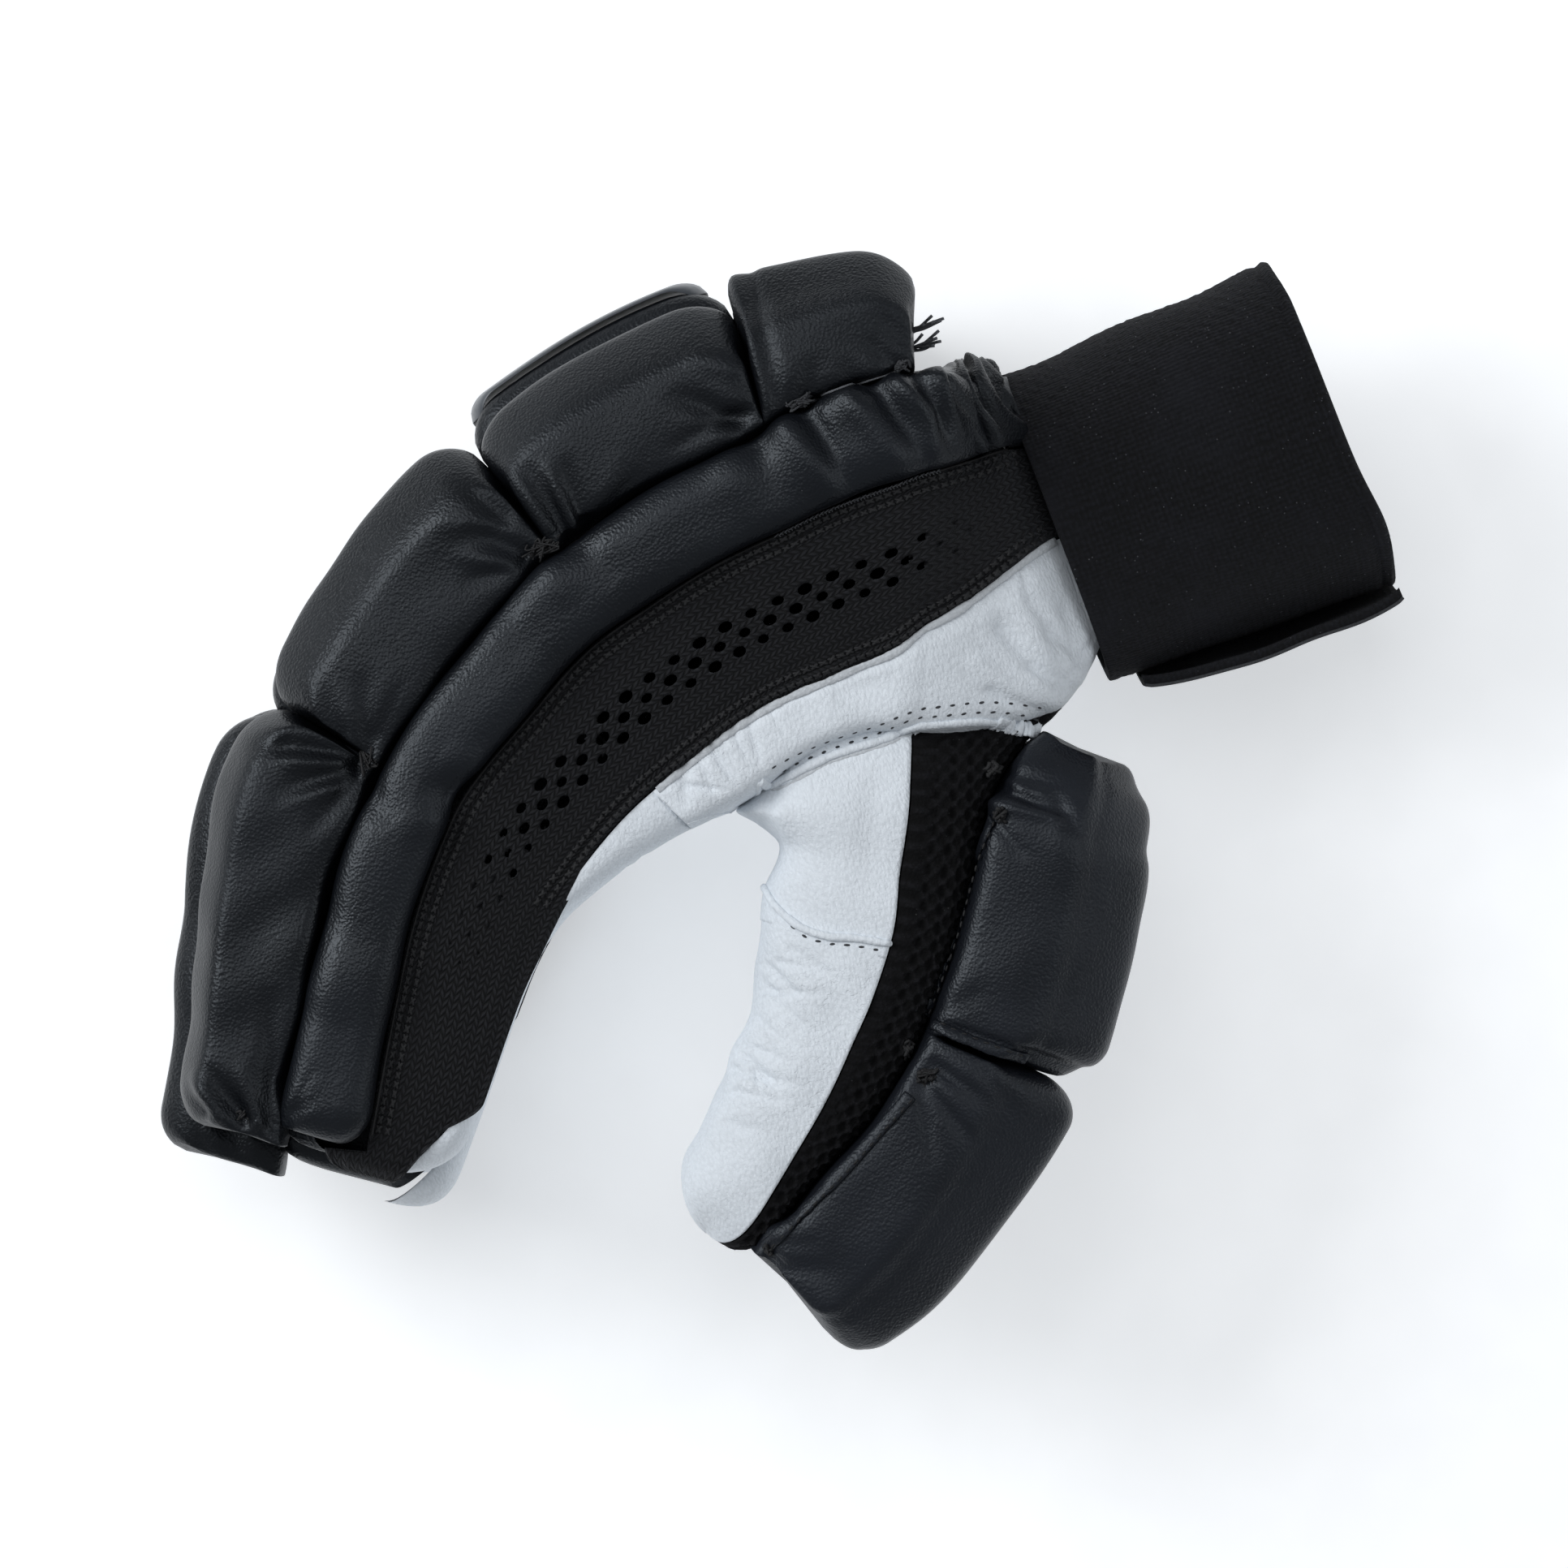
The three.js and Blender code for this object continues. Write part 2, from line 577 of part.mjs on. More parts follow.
// Runs along a roll with its ends rounded, and the share of the section kept at each.
function rollStations(from, to) {
  const ends = [[0, 0.66], [0.3, 0.9], [1, 1]];
  const start = ends.map(([t, keep]) => [from + t * rollRound, keep]);
  const finish = ends.map(([t, keep]) => [to - t * rollRound, keep]).reverse();
  return [...start, ...steps(from + rollRound, to - rollRound).slice(1, -1).map((run) => [run, 1]), ...finish];
}

// Corners of a finger roll's section, as shares of its half width and height. The outer two
// columns fall away towards their outer side.
const rollCorners = {
  little: (shoulder) => [[-1, 0], [1, 0], [1, 0.98], [-0.1 + shoulder * 0.1, 1], [-1, shoulder]],
  ring: (shoulder) => [[-1, 0], [1, 0], [1, shoulder], [0.62, 1], [-0.62, 1], [-1, shoulder]],
  middle: (shoulder) => [[-1, 0], [1, 0], [1, shoulder], [0.62, 1], [-0.62, 1], [-1, shoulder]],
  index: (shoulder) => [[-1, 0], [1, 0], [1, shoulder], [0.1 - shoulder * 0.1, 1], [-1, 0.98]],
};

function fingerRoll(k, row) {
  const half = (rollPitch - rollGap) / 2;
  const [from, to] = [row.from * sleeveRun + rowGap / 2, row.to * sleeveRun - rowGap / 2];
  return loft(rollStations(from, to).map(([run, keep]) => {
    const corners = rollCorners[fingers[k].name](row.shoulder).map(([across, height]) => [
      top(run) + rollSeatGap + crown(k, run) * keep * height,
      (k - 1.5) * rollPitch + across * half * (0.8 + 0.2 * keep),
    ]);
    return softened(corners, 0.24).map(([rise, across]) => handPoint(stretched(k, run), rise, across));
  }));
}

// Gathered skirt of soft sheet from the first rolls to the wristband. Next to the wristband it
// comes down over both sides of the sleeve.
function wristSkirt() {
  const runs = spread(1.2, rollRows[0].from * sleeveRun - seamGap, 8);
  const columns = spread(1, -1, 13);
  const grid = (drop) => runs.map((run, i) => columns.map((column, j) => {
    const share = (run - runs[0]) / (runs.at(-1) - runs[0]);
    const fall = Math.max(0, (share - 0.3) / 0.7) ** 2;
    const lift = skirtLift * (1 - 0.8 * fall) + ruffle * ((i + j) % 2 ? 1 : -1) * (1 - fall);
    const atEdge = j === 0 || j === columns.length - 1;
    const down = atEdge ? Math.max(0, 1 - run / barStart) : 0;
    const flap = (lift + top(run) - bar(run) - skirtWall) * down;
    const rise = top(run) + seamGap + 1.5 * skirtWall + lift - flap;
    const edge = handHalf + (skirtWall + 2 * seamGap - drop * Math.min(1, 2 * down)) / girth(run);
    return handPoint(run, rise - drop * (1 - down), column * edge);
  }));
  return wall(grid(0), grid(skirtWall));
}

// A bare glossy plate over the middle and ring rolls on the back of the hand.
function backPlate() {
  const { from, to } = rollRows[1];
  const runs = steps(from * sleeveRun + rollRound, to * sleeveRun - rollRound);
  const edge = 0.75 * rollPitch;
  const grid = (extra) => runs.map((run) => spread(edge, -edge, 7).map((across) => {
    const bow = 1 - 0.6 * (across / edge) ** 2;
    const rise = top(run) + 2 * rollSeatGap + crown(2, run) + extra * bow;
    return handPoint(run, rise, across);
  }));
  return wall(grid(plateWall), grid(0));
}

// Thumb sleeve: leather towards the fingers, in two pieces, and mesh round the other sides.
const thumbSection = (station, inset) => trough(
  split(station.run) - seamGap / station.close,
  front(station.run) + inset,
  thumbHalf(station.run) - inset,
  thumbColumns, 3.2, 3.2,
).map(([rise, across]) => thumbPoint(station, rise, across));

function thumbBaseLeather() {
  const runs = [...thumbBaseRuns, thumbSeamRun - seamGap];
  const grid = (inset) => runs.map((run) => thumbSection(open(run), inset));
  return wall(grid(0), grid(leatherWall));
}

function thumbTipLeather() {
  const grid = (inset) => tipStations(thumbSeamRun, thumbRun, thumbTipRound, inset)
    .map((station) => thumbSection(station, inset));
  return wall(grid(0), grid(leatherWall));
}

function thumbGusset() {
  const grid = (inset) => [
    ...thumbBaseRuns.map(open),
    ...tipStations(thumbSeamRun, thumbRun, thumbTipRound, inset),
  ].map((station) => arch(
    split(station.run), seat(station.run) - inset, thumbHalf(station.run) - inset, thumbColumns, 6,
  ).map(([rise, across]) => thumbPoint(station, rise, across)));
  return wall(grid(0), grid(meshWall));
}

// A roll on the outside of the thumb. lean pulls the tip end of its underside back.
function thumbRoll(from, to, lean) {
  return loft(rollStations(from, to).map(([run, keep]) => {
    const half = (thumbRollWidth / thumbWidth) * thumbHalf(run) * (0.85 + 0.15 * keep);
    const [tall, edge] = [thumbCrown(run) * keep, thumbShoulder(run) * keep];
    const near = Math.max(0, 1 - (to - run) / (3 * rollRound));
    const corners = [[0, -1], [0, 1], [edge, 1], [tall, 0.35], [tall, -0.35], [edge, -1]]
      .map(([height, across]) => [height, across * half]);
    return softened(corners, 0.24).map(([height, across]) => thumbBend(
      run - lean * near * (1 - height / thumbRollHeight),
      seatUnder(run) + thumbSeatGap + height,
      across,
    ));
  }));
}

const thumbMiddle = 0.54 * thumbRun;

add('wristband', wristband(), 'towelling');
add('closure_tab', closureTab(), 'towelling');
add('palm_leather', palmLeather(), 'leather');
add('hand_back', handBack(), 'mesh');
add('wrist_skirt', wristSkirt(), 'bar');
add('index_gusset', subtract(gusset(3, 1), eyelets(3, 1)), 'mesh');
add('little_gusset', gusset(0, -1), 'mesh');
add('index_side_bar', sideBar(3, 1), 'bar');
add('little_side_bar', sideBar(0, -1), 'bar');
add('back_plate', backPlate(), 'plate');
fingers.forEach((finger, k) => {
  add(`${finger.name}_finger_leather`, fingerLeather(k), 'leather');
  add(`${finger.name}_finger_back`, fingerBack(k), 'mesh');
  for (const row of rollRows) add(`${finger.name}_${row.name}`, fingerRoll(k, row), 'roll');
});
add('thumb_base_leather', thumbBaseLeather(), 'leather');
add('thumb_tip_leather', thumbTipLeather(), 'leather');
add('thumb_gusset', thumbGusset(), 'mesh');
add('thumb_upper_roll', thumbRoll(-thumbRollLead, thumbMiddle - rowGap / 2, 0), 'roll');
add('thumb_lower_roll', thumbRoll(thumbMiddle + rowGap / 2, thumbRun + thumbRollPast, thumbRollLean), 'roll');

// The origin is on the surface that the glove lies on, under the middle of its outline.
const bounds = new THREE.Box3().setFromObject(glove);
const middle = bounds.getCenter(new THREE.Vector3());
glove.position.set(-middle.x, -middle.y, -bounds.min.z);

export default glove;
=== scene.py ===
"""Looks of a right-hand cricket batting glove, lying on its little-finger side.

Every piece is drawn as (run, rise, across), in millimetres, and bent along a centreline, as the
solids are. run goes from the wristband's edge to the fingertips, rise from the centreline to
the back of the hand, and across from the middle of the hand to the index-finger side.
"""

import json
import math

import bpy
import numpy as np
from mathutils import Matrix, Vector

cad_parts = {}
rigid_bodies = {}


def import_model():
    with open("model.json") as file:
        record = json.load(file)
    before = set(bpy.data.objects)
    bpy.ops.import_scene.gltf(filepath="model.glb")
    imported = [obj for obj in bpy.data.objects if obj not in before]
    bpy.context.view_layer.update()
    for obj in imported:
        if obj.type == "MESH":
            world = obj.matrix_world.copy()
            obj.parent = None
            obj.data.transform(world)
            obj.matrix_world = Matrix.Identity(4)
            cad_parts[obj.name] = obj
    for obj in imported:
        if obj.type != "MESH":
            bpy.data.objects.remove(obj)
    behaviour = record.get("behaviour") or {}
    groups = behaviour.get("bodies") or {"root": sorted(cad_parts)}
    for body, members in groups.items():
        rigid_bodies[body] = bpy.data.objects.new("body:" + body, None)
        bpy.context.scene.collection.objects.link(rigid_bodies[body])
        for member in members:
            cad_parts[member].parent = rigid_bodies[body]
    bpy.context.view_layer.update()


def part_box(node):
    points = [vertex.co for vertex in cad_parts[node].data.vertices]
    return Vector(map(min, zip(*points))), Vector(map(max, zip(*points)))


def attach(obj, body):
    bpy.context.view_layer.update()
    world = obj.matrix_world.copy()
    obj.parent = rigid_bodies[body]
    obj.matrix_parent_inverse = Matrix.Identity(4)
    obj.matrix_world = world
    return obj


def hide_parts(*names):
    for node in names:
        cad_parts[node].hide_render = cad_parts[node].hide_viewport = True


bl_info = {
    "name": "Cricket batting glove",
    "version": (1, 0, 0),
    "blender": (4, 5, 0),
    "location": "3D View > Sidebar > Glove",
    "description": "Builds the glove's pieces over its solids, with a plain studio",
    "category": "Add Mesh",
}

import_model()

# ---------------------------------------------------------------- sizes shared with the solids
CUFF_LENGTH = 71.0
CUFF_HEIGHT = (76.0, 82.0)
CUFF_THICKNESS = (52.0, 47.0)
CUFF_WALL = 3.0
SLEEVE_RISE = 25.0
FINGER_PITCH = 22.0
CROTCH = 125.0
INDEX_LENGTH = 118.0
SLEEVE_RUN = CROTCH + INDEX_LENGTH
TIP_ROUND = 13.0
BAR = 8.5
BAR_START = 10.0
ROLL_HEIGHT = 34.0
ROLL_ROUND = 7.0
END_ROUND = 8.5
THUMB_RISE = 22.0
THUMB_WIDTH = 38.0
THUMB_RUN = 137.0
THUMB_TIP_ROUND = 16.0
THUMB_SEAM = 58.0
THUMB_ROLL_HEIGHT = 41.0
THUMB_ROLL_WIDTH = 45.0
WALL = 1.8
SEAM_GAP = 0.35
HAND_HALF = 2 * FINGER_PITCH
HAND_CENTRE = HAND_HALF + BAR
ROLL_PITCH = FINGER_PITCH + 3.5
MM = 0.001
# How deep a roll's near side is rounded off at its ends, and the share of its height that is
# lost there.
ROUNDED_OFF = 1.8
END_FALL = 0.27
THUMB_WRIST_FALL, THUMB_END_FALL = 0.14, 0.36
# The thumb's base dips by this much towards the middle of the palm, over this run.
DIP, DIP_RUN = 11.0, 30.0
# Power of the superellipse that closes the thumb's tip.
THUMB_TIP_POWER = 2.6
# Where the rows of eyelets begin and end, as shares of the sleeve's run.
EYELETS = (0.085, 0.80)
# How far past the rest of its tip each finger's back reaches.
BACK_PAST = (0.3, -2.0, -3.6, -0.6)
# The photograph's scale is taken at this height, and its camera is 2 m above it.
EYE_LEVEL = 85.0
CAMERA_TURN = math.radians(-21)
CAMERA_LENS = 197.5

HAND_ARCS = ((30, -24), (55, 34), (60, 22), (50, 20.5), (48, 2))
THUMB_ARCS = ((35, 11.3), (55, -11.7), (47, -15.6))
FINGERS = ("little", "ring", "middle", "index")
PAST = (0.81, 1.02, 1.07, 1.0)
LIFT = (-0.15, 0.09, 0.12, 0.0)
# How much higher the dressed rolls of two rows stand, for each finger.
ROW_LIFT = {"cuff_roll": (0.0, -0.10, -0.13, 0.115), "knuckle_roll": (0.0, -0.03, -0.05, 0.065)}

# name, from and to as shares of the sleeve's run, height share where the shoulder starts
ROLL_ROWS = (
    ("cuff_roll", 0.14, 0.247, 0.60),
    ("hand_roll", 0.247, 0.432, 0.66),
    ("knuckle_roll", 0.432, 0.654, 0.66),
    ("tip_roll", 0.654, 1.0, 0.80),
)
TUCK = {"top": 0.77, "bar": 0.57, "palm": -0.07, "belly": -0.84}
SLEEVE = np.array([
    # at, top, bar, palm, belly, girth, crown
    (0.00, 1.34, 0.84, -0.10, -1.62, 0.64, 0.40),
    (0.05, 1.50, 0.82, -0.26, -1.70, 0.75, 0.50),
    (0.12, 1.62, 0.70, -0.72, -1.76, 0.95, 0.60),
    (0.16, 1.54, 0.54, -0.96, -1.75, 1.00, 0.76),
    (0.22, 1.35, 0.38, -1.08, -1.73, 1.00, 0.90),
    (0.27, 1.17, 0.28, -1.13, -1.73, 1.00, 1.04),
    (0.39, 1.14, 0.24, -1.12, -1.76, 1.00, 1.03),
    (0.46, 1.12, 0.27, -1.12, -1.72, 1.00, 1.04),
    (0.55, 1.05, 0.22, -1.06, -1.50, 1.00, 1.04),
    (0.64, 1.02, 0.25, -1.02, -1.26, 1.00, 0.95),
    (0.70, 0.99, 0.20, -0.97, -1.10, 1.00, 1.00),
    (0.80, 0.92, 0.12, -0.90, -1.00, 1.00, 0.87),
    (0.90, 0.86, 0.04, -0.84, -0.94, 1.00, 0.76),
    (0.95, 0.84, 0.00, -0.66, -0.90, 1.00, 0.72),
    (1.00, 0.82, -0.04, -0.40, -0.84, 1.00, 0.70),
])
SLEEVE_COLUMNS = ("at", "top", "bar", "palm", "belly", "girth", "crown")
THUMB = np.array([
    # at, front, split, seat, width, crown, shoulder
    (-0.04, -1.36, -0.10, 1.42, 1.00, 0.52, 0.30),
    (0.00, -1.36, -0.08, 1.42, 1.00, 0.68, 0.40),
    (0.04, -1.36, -0.05, 1.42, 1.00, 0.82, 0.46),
    (0.09, -1.38, 0.06, 1.18, 1.00, 0.90, 0.50),
    (0.18, -1.46, 0.20, 1.02, 1.00, 0.97, 0.55),
    (0.22, -1.56, 0.24, 1.02, 1.00, 0.99, 0.57),
    (0.26, -1.32, 0.26, 1.02, 1.00, 1.00, 0.57),
    (0.31, -1.04, 0.28, 1.02, 0.99, 1.00, 0.57),
    (0.40, -1.06, 0.36, 1.01, 0.97, 1.02, 0.58),
    (0.52, -0.93, 0.36, 0.98, 0.95, 1.02, 0.57),
    (0.60, -0.80, 0.33, 0.93, 0.93, 1.00, 0.51),
    (0.70, -0.82, 0.31, 0.82, 0.90, 1.00, 0.52),
    (0.80, -0.76, 0.28, 0.63, 0.87, 1.01, 0.57),
    (0.90, -0.70, 0.29, 0.53, 0.84, 1.00, 0.58),
    (1.00, -0.60, 0.36, 0.60, 0.80, 0.82, 0.50),
])
THUMB_COLUMNS = ("at", "front", "split", "seat", "width", "crown", "shoulder")


# ---------------------------------------------------------------- the bent space
def curve(table, columns, name, share):
    """Hermite curve through one column of a table, with the slope at each row taken between
    its two neighbours, and held at its first and last rows."""
    at, value = table[:, 0], table[:, columns.index(name)]
    rows = np.arange(len(at))
    before, after = np.maximum(rows - 1, 0), np.minimum(rows + 1, len(at) - 1)
    slope = (value[after] - value[before]) / (at[after] - at[before])
    share = np.clip(share, at[0], at[-1])
    i = np.clip(np.searchsorted(at, share, side="left") - 1, 0, len(at) - 2)
    width = at[i + 1] - at[i]
    t = (share - at[i]) / width
    t2, t3 = t * t, t * t * t
    return ((2 * t3 - 3 * t2 + 1) * value[i] + (t3 - 2 * t2 + t) * width * slope[i]
            + (3 * t2 - 2 * t3) * value[i + 1] + (t3 - t2) * width * slope[i + 1])


def centreline(x, y, heading, arcs):
    """Chain of arcs from a point and a heading. Gives x, y and heading at any run: within an
    arc the heading grows evenly and the place is its integral; before and after it is straight."""
    base, turns = [(0.0, x, y, heading)], [0.0]
    for length, degrees in arcs:
        s, x, y, heading = base[-1]
        turn = math.radians(degrees) / length
        end = heading + turn * length
        base.append((s + length, x + (math.sin(end) - math.sin(heading)) / turn,
                     y + (math.cos(heading) - math.cos(end)) / turn, end))
        turns.append(turn)
    base, turns = np.array(base), np.array(turns + [0.0])
    start = np.array([0, *range(len(base))])

    def at(run):
        run = np.asarray(run, float)
        j = np.searchsorted(base[:, 0], run, side="left")
        s, x0, y0, h0 = (base[start[j], c] for c in range(4))
        turn, length = turns[j], run - s
        end = h0 + turn * length
        safe = np.where(turn == 0, 1.0, turn)
        x1 = np.where(turn == 0, length * np.cos(h0), (np.sin(end) - np.sin(h0)) / safe)
        y1 = np.where(turn == 0, length * np.sin(h0), (np.cos(h0) - np.cos(end)) / safe)
        return x0 + x1, y0 + y1, end
    return at


def lerp(a, b, t):
    """a and b mixed: a at t 0 and b at t 1."""
    return a + (b - a) * t


def smooth(t):
    """3t^2 - 2t^3 between 0 and 1, and flat outside."""
    t = np.clip(t, 0, 1)
    return t * t * (3 - 2 * t)


_lo, _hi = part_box("wristband")
SHIFT = np.array([_hi.x / MM, (_lo.y + _hi.y) / 2 / MM, 0.0])
HAND_LINE = centreline(-CUFF_LENGTH, 0.0, math.pi, HAND_ARCS)


def emerge(run):
    """0 where the sleeve is inside the wristband, and 1 once it has its own section."""
    t = np.clip(np.asarray(run, float) / 12, 0, 1)
    return t * (2 - t)


def seam(name, run):
    """Rise of one of the sleeve's seam lines: from its place inside the wristband to its own."""
    inside = TUCK[name] * (CUFF_HEIGHT[0] / 2 - CUFF_WALL)
    free = curve(SLEEVE, SLEEVE_COLUMNS, name, np.asarray(run, float) / SLEEVE_RUN)
    return lerp(inside, SLEEVE_RISE * free, emerge(run))


def girth(run):
    """Share of the full half width at a run."""
    inside = 0.75 * (CUFF_THICKNESS[0] / 2 - CUFF_WALL) / HAND_HALF
    free = curve(SLEEVE, SLEEVE_COLUMNS, "girth", np.asarray(run, float) / SLEEVE_RUN)
    return lerp(inside, np.minimum(1, free), emerge(run))


def crown(k, run):
    """Height of finger k's rolls over the top seam."""
    return ROLL_HEIGHT * (
        curve(SLEEVE, SLEEVE_COLUMNS, "crown", np.asarray(run, float) / SLEEVE_RUN) + LIFT[k])


def bend(line, run, rise, z):
    """Point at rise along the normal of a centreline, z high, in metres in the frame."""
    x, y, heading = line(run)
    x, y, z = np.broadcast_arrays(x + rise * np.sin(heading), y - rise * np.cos(heading), z)
    return (np.stack([x, y, z], -1) + SHIFT) * MM


def hand(run, rise, across):
    """Place in the hand's bent space."""
    return bend(HAND_LINE, run, rise, HAND_CENTRE + across * girth(run))


def stretched(k, run):
    """Run of finger k, whose part past the crotch is stretched to its own length."""
    run = np.asarray(run, float)
    return np.where(run <= CROTCH, run, CROTCH + (run - CROTCH) * PAST[k])


def finger(k, run, close, rise, across):
    """Place on finger k, whose section closes by the share close about its middle."""
    middle = (seam("bar", run) + seam("palm", run)) / 2
    centre = (k - 1.5) * FINGER_PITCH
    return bend(
        HAND_LINE, stretched(k, run), middle + (rise - middle) * close,
        HAND_CENTRE + (centre + (across - centre) * close) * girth(stretched(k, run)))


THUMB_ROOT = 29.5
ROOT_DEPTH = -0.784 * float(seam("belly", THUMB_ROOT))
HEM_RUN = 1.24 * (-float(seam("belly", THUMB_ROOT)) - ROOT_DEPTH)
THUMB_BASE = HEM_RUN - 6
_x, _y, _h = (float(v) for v in HAND_LINE(THUMB_ROOT))
THUMB_LINE = centreline(_x - ROOT_DEPTH * math.sin(_h), _y + ROOT_DEPTH * math.cos(_h),
                        _h + math.radians(70), THUMB_ARCS)
THUMB_CENTRE = HAND_CENTRE + HAND_HALF - WALL - 0.7 - THUMB_WIDTH / 2
THUMB_SIZES = {"front": THUMB_RISE, "split": THUMB_RISE, "seat": THUMB_RISE,
               "width": THUMB_WIDTH / 2, "crown": THUMB_ROLL_HEIGHT, "shoulder": THUMB_ROLL_HEIGHT}


def thumb_size(name, run):
    """A size of the thumb's section at a run, in millimetres."""
    share = np.asarray(run, float) / THUMB_RUN
    return THUMB_SIZES[name] * curve(THUMB, THUMB_COLUMNS, name, share)


def slant(run):
    """How far the base leans along the palm's hem, as a share of rise."""
    return 0.5 * np.maximum(0, 1 - (run - THUMB_BASE) / 36)


def dip(run):
    """How far the thumb's base dips towards the middle of the palm."""
    return DIP * np.maximum(0, 1 - run / DIP_RUN) ** 2


def thumb_bend(run, rise, across):
    """Place in the thumb's bent space."""
    return bend(THUMB_LINE, run, -rise, THUMB_CENTRE - dip(run) + across)


def thumb(run, close, rise, across):
    """Place on the thumb's sleeve, whose section closes by the share close at its tip."""
    middle = (thumb_size("front", run) + thumb_size("seat", run)) / 2
    out = middle + (rise - middle) * close
    return thumb_bend(run - slant(run) * out, out, across * close)


def seat_under(run):
    """Height of the rolls' seat over a place on the centreline once the base is slanted."""
    flat = run
    for _ in range(6):
        flat = run + slant(flat) * thumb_size("seat", flat)
    return thumb_size("seat", flat)


# ---------------------------------------------------------------- profiles and relief
def superellipse(count, power, crowd=1.0):
    """(across, depth) of the lower half of |x|^power + |y|^power = 1, from +1 to -1. power may
    be a pair: one for the near half and one for the far half. The points crowd towards +1."""
    near, far = power if isinstance(power, tuple) else (power, power)
    angle = math.pi * np.linspace(0, 1, count) ** crowd
    p = 2 / np.where(angle < math.pi / 2, near, far)
    return (np.sign(np.cos(angle)) * np.abs(np.cos(angle)) ** p,
            np.maximum(np.sin(angle), 0) ** p)


def rounded(corners, cut, scale, count):
    """A closed outline whose corners are cut by a share of its edges and then rounded by
    cutting again, with count points evenly spaced along it once it is scaled."""
    outline = np.array(corners, float)
    for share in (cut, 0.25, 0.25, 0.25):
        before, after = np.roll(outline, 1, 0), np.roll(outline, -1, 0)
        outline = np.stack([lerp(outline, before, share), lerp(outline, after, share)], 1)
        outline = outline.reshape(-1, 2)
    closed = np.vstack([outline, outline[:1]])
    length = np.r_[0, np.cumsum(np.hypot(*(np.diff(closed, axis=0) * scale).T))]
    at = np.linspace(0, length[-1], count, endpoint=False)
    return np.stack([np.interp(at, length, closed[:, c]) for c in (0, 1)], 1)


def stations(start, end, pitch, ends=0.0, fine=0.4):
    """Runs from start to end, pitch apart in the middle and fine apart within ends of both."""
    if not ends:
        return np.linspace(start, end, max(2, round((end - start) / pitch) + 1))
    first = np.linspace(start, start + ends, max(3, round(ends / fine)) + 1)
    last = (start + end) - first[::-1]
    middle = np.linspace(first[-1], last[0], max(2, round((last[0] - first[-1]) / pitch) + 1))
    return np.r_[first, middle[1:-1], last]


def to_tip(start, end, length, pitch, rows):
    """Runs from start to the end of a rounded tip: pitch apart up to the tip, which is length
    long, and then rows closer ones that stop just short of its point."""
    share = np.r_[np.linspace(0, 0.92, rows), 0.96, 0.985, 0.999]
    tip = end - length
    return np.r_[stations(start, tip, pitch), tip + share[1:] * length]


def tip_close(run, end, length, power):
    """Share of the full section at a run: 1 up to the tip and 0 at its end, along a quarter of
    a superellipse of a given power."""
    gone = np.clip((run - end + length) / length, 0, 1)
    return (1 - gone ** power) ** (1 / power)


def round_over(distance, radius):
    """How far a quarter circle of a radius falls off, as a share of it: 1 at the edge and 0
    from a radius away from it."""
    return 1 - np.sqrt(1 - (1 - np.clip(distance / radius, 0, 1)) ** 2)


def bell(value, width):
    """exp(-(value / width)^2)."""
    return np.exp(-(value / width) ** 2)


def grooves(u, v, table):
    """Sum of bell-shaped grooves. Each row is a line from (u, v) to (u, v), a width and a
    depth: deepest at its start, fading towards its end. A negative depth is a ridge."""
    total = np.zeros(np.broadcast(u, v).shape)
    for u0, v0, u1, v1, width, depth in table:
        du, dv = u1 - u0, v1 - v0
        t = np.clip(((u - u0) * du + (v - v0) * dv) / (du * du + dv * dv), 0, 1)
        away = np.hypot(u - u0 - t * du, v - v0 - t * dv)
        total -= depth * (1 - t * t) * bell(away, width)
    return total


def ripple(u, v, seed, waves=9, size=12.0):
    """Soft unevenness between about -1 and 1: the mean of sine waves in seeded directions,
    with wavelengths near size."""
    rng = np.random.default_rng(seed)
    angle = rng.uniform(0, math.pi, waves)
    rate = 2 * math.pi / (size * rng.uniform(0.6, 1.6, waves))
    phase = rng.uniform(0, 2 * math.pi, waves)
    total = np.zeros(np.broadcast(u, v).shape)
    for a, r, p in zip(angle, rate, phase):
        total += np.sin(r * (u * math.cos(a) + v * math.sin(a)) + p)
    return total / math.sqrt(waves)


def lattice(u, v, pitch_u, pitch_v):
    """Offset from the nearest centre of a staggered lattice, as (du, dv)."""
    def near(shift):
        du = (u / pitch_u + shift + 0.5) % 1 - 0.5
        dv = (v / (2 * pitch_v) + shift + 0.5) % 1 - 0.5
        return du * pitch_u, dv * 2 * pitch_v
    a, b = near(0.0), near(0.5)
    first = a[0] ** 2 + a[1] ** 2 <= b[0] ** 2 + b[1] ** 2
    return np.where(first, a[0], b[0]), np.where(first, a[1], b[1])


def normals(points, ring):
    """Unit normals of a grid, from the cross product of its two directions."""
    along = np.gradient(points, axis=0)
    if ring:
        round_ = (np.roll(points, -1, 1) - np.roll(points, 1, 1)) / 2
    else:
        round_ = np.gradient(points, axis=1)
    n = np.cross(along, round_)
    return n / np.maximum(np.linalg.norm(n, axis=-1, keepdims=True), 1e-12)


def outward(points, ring=True):
    """Normals that point away from the middle of each row."""
    n = normals(points, ring)
    away = points - points.mean(1, keepdims=True)
    return n * np.sign((n * away).sum())


def raised(points, amount, ring=True):
    """Points moved outward by an amount in millimetres."""
    return points + outward(points, ring) * (np.asarray(amount) * MM)[..., None]


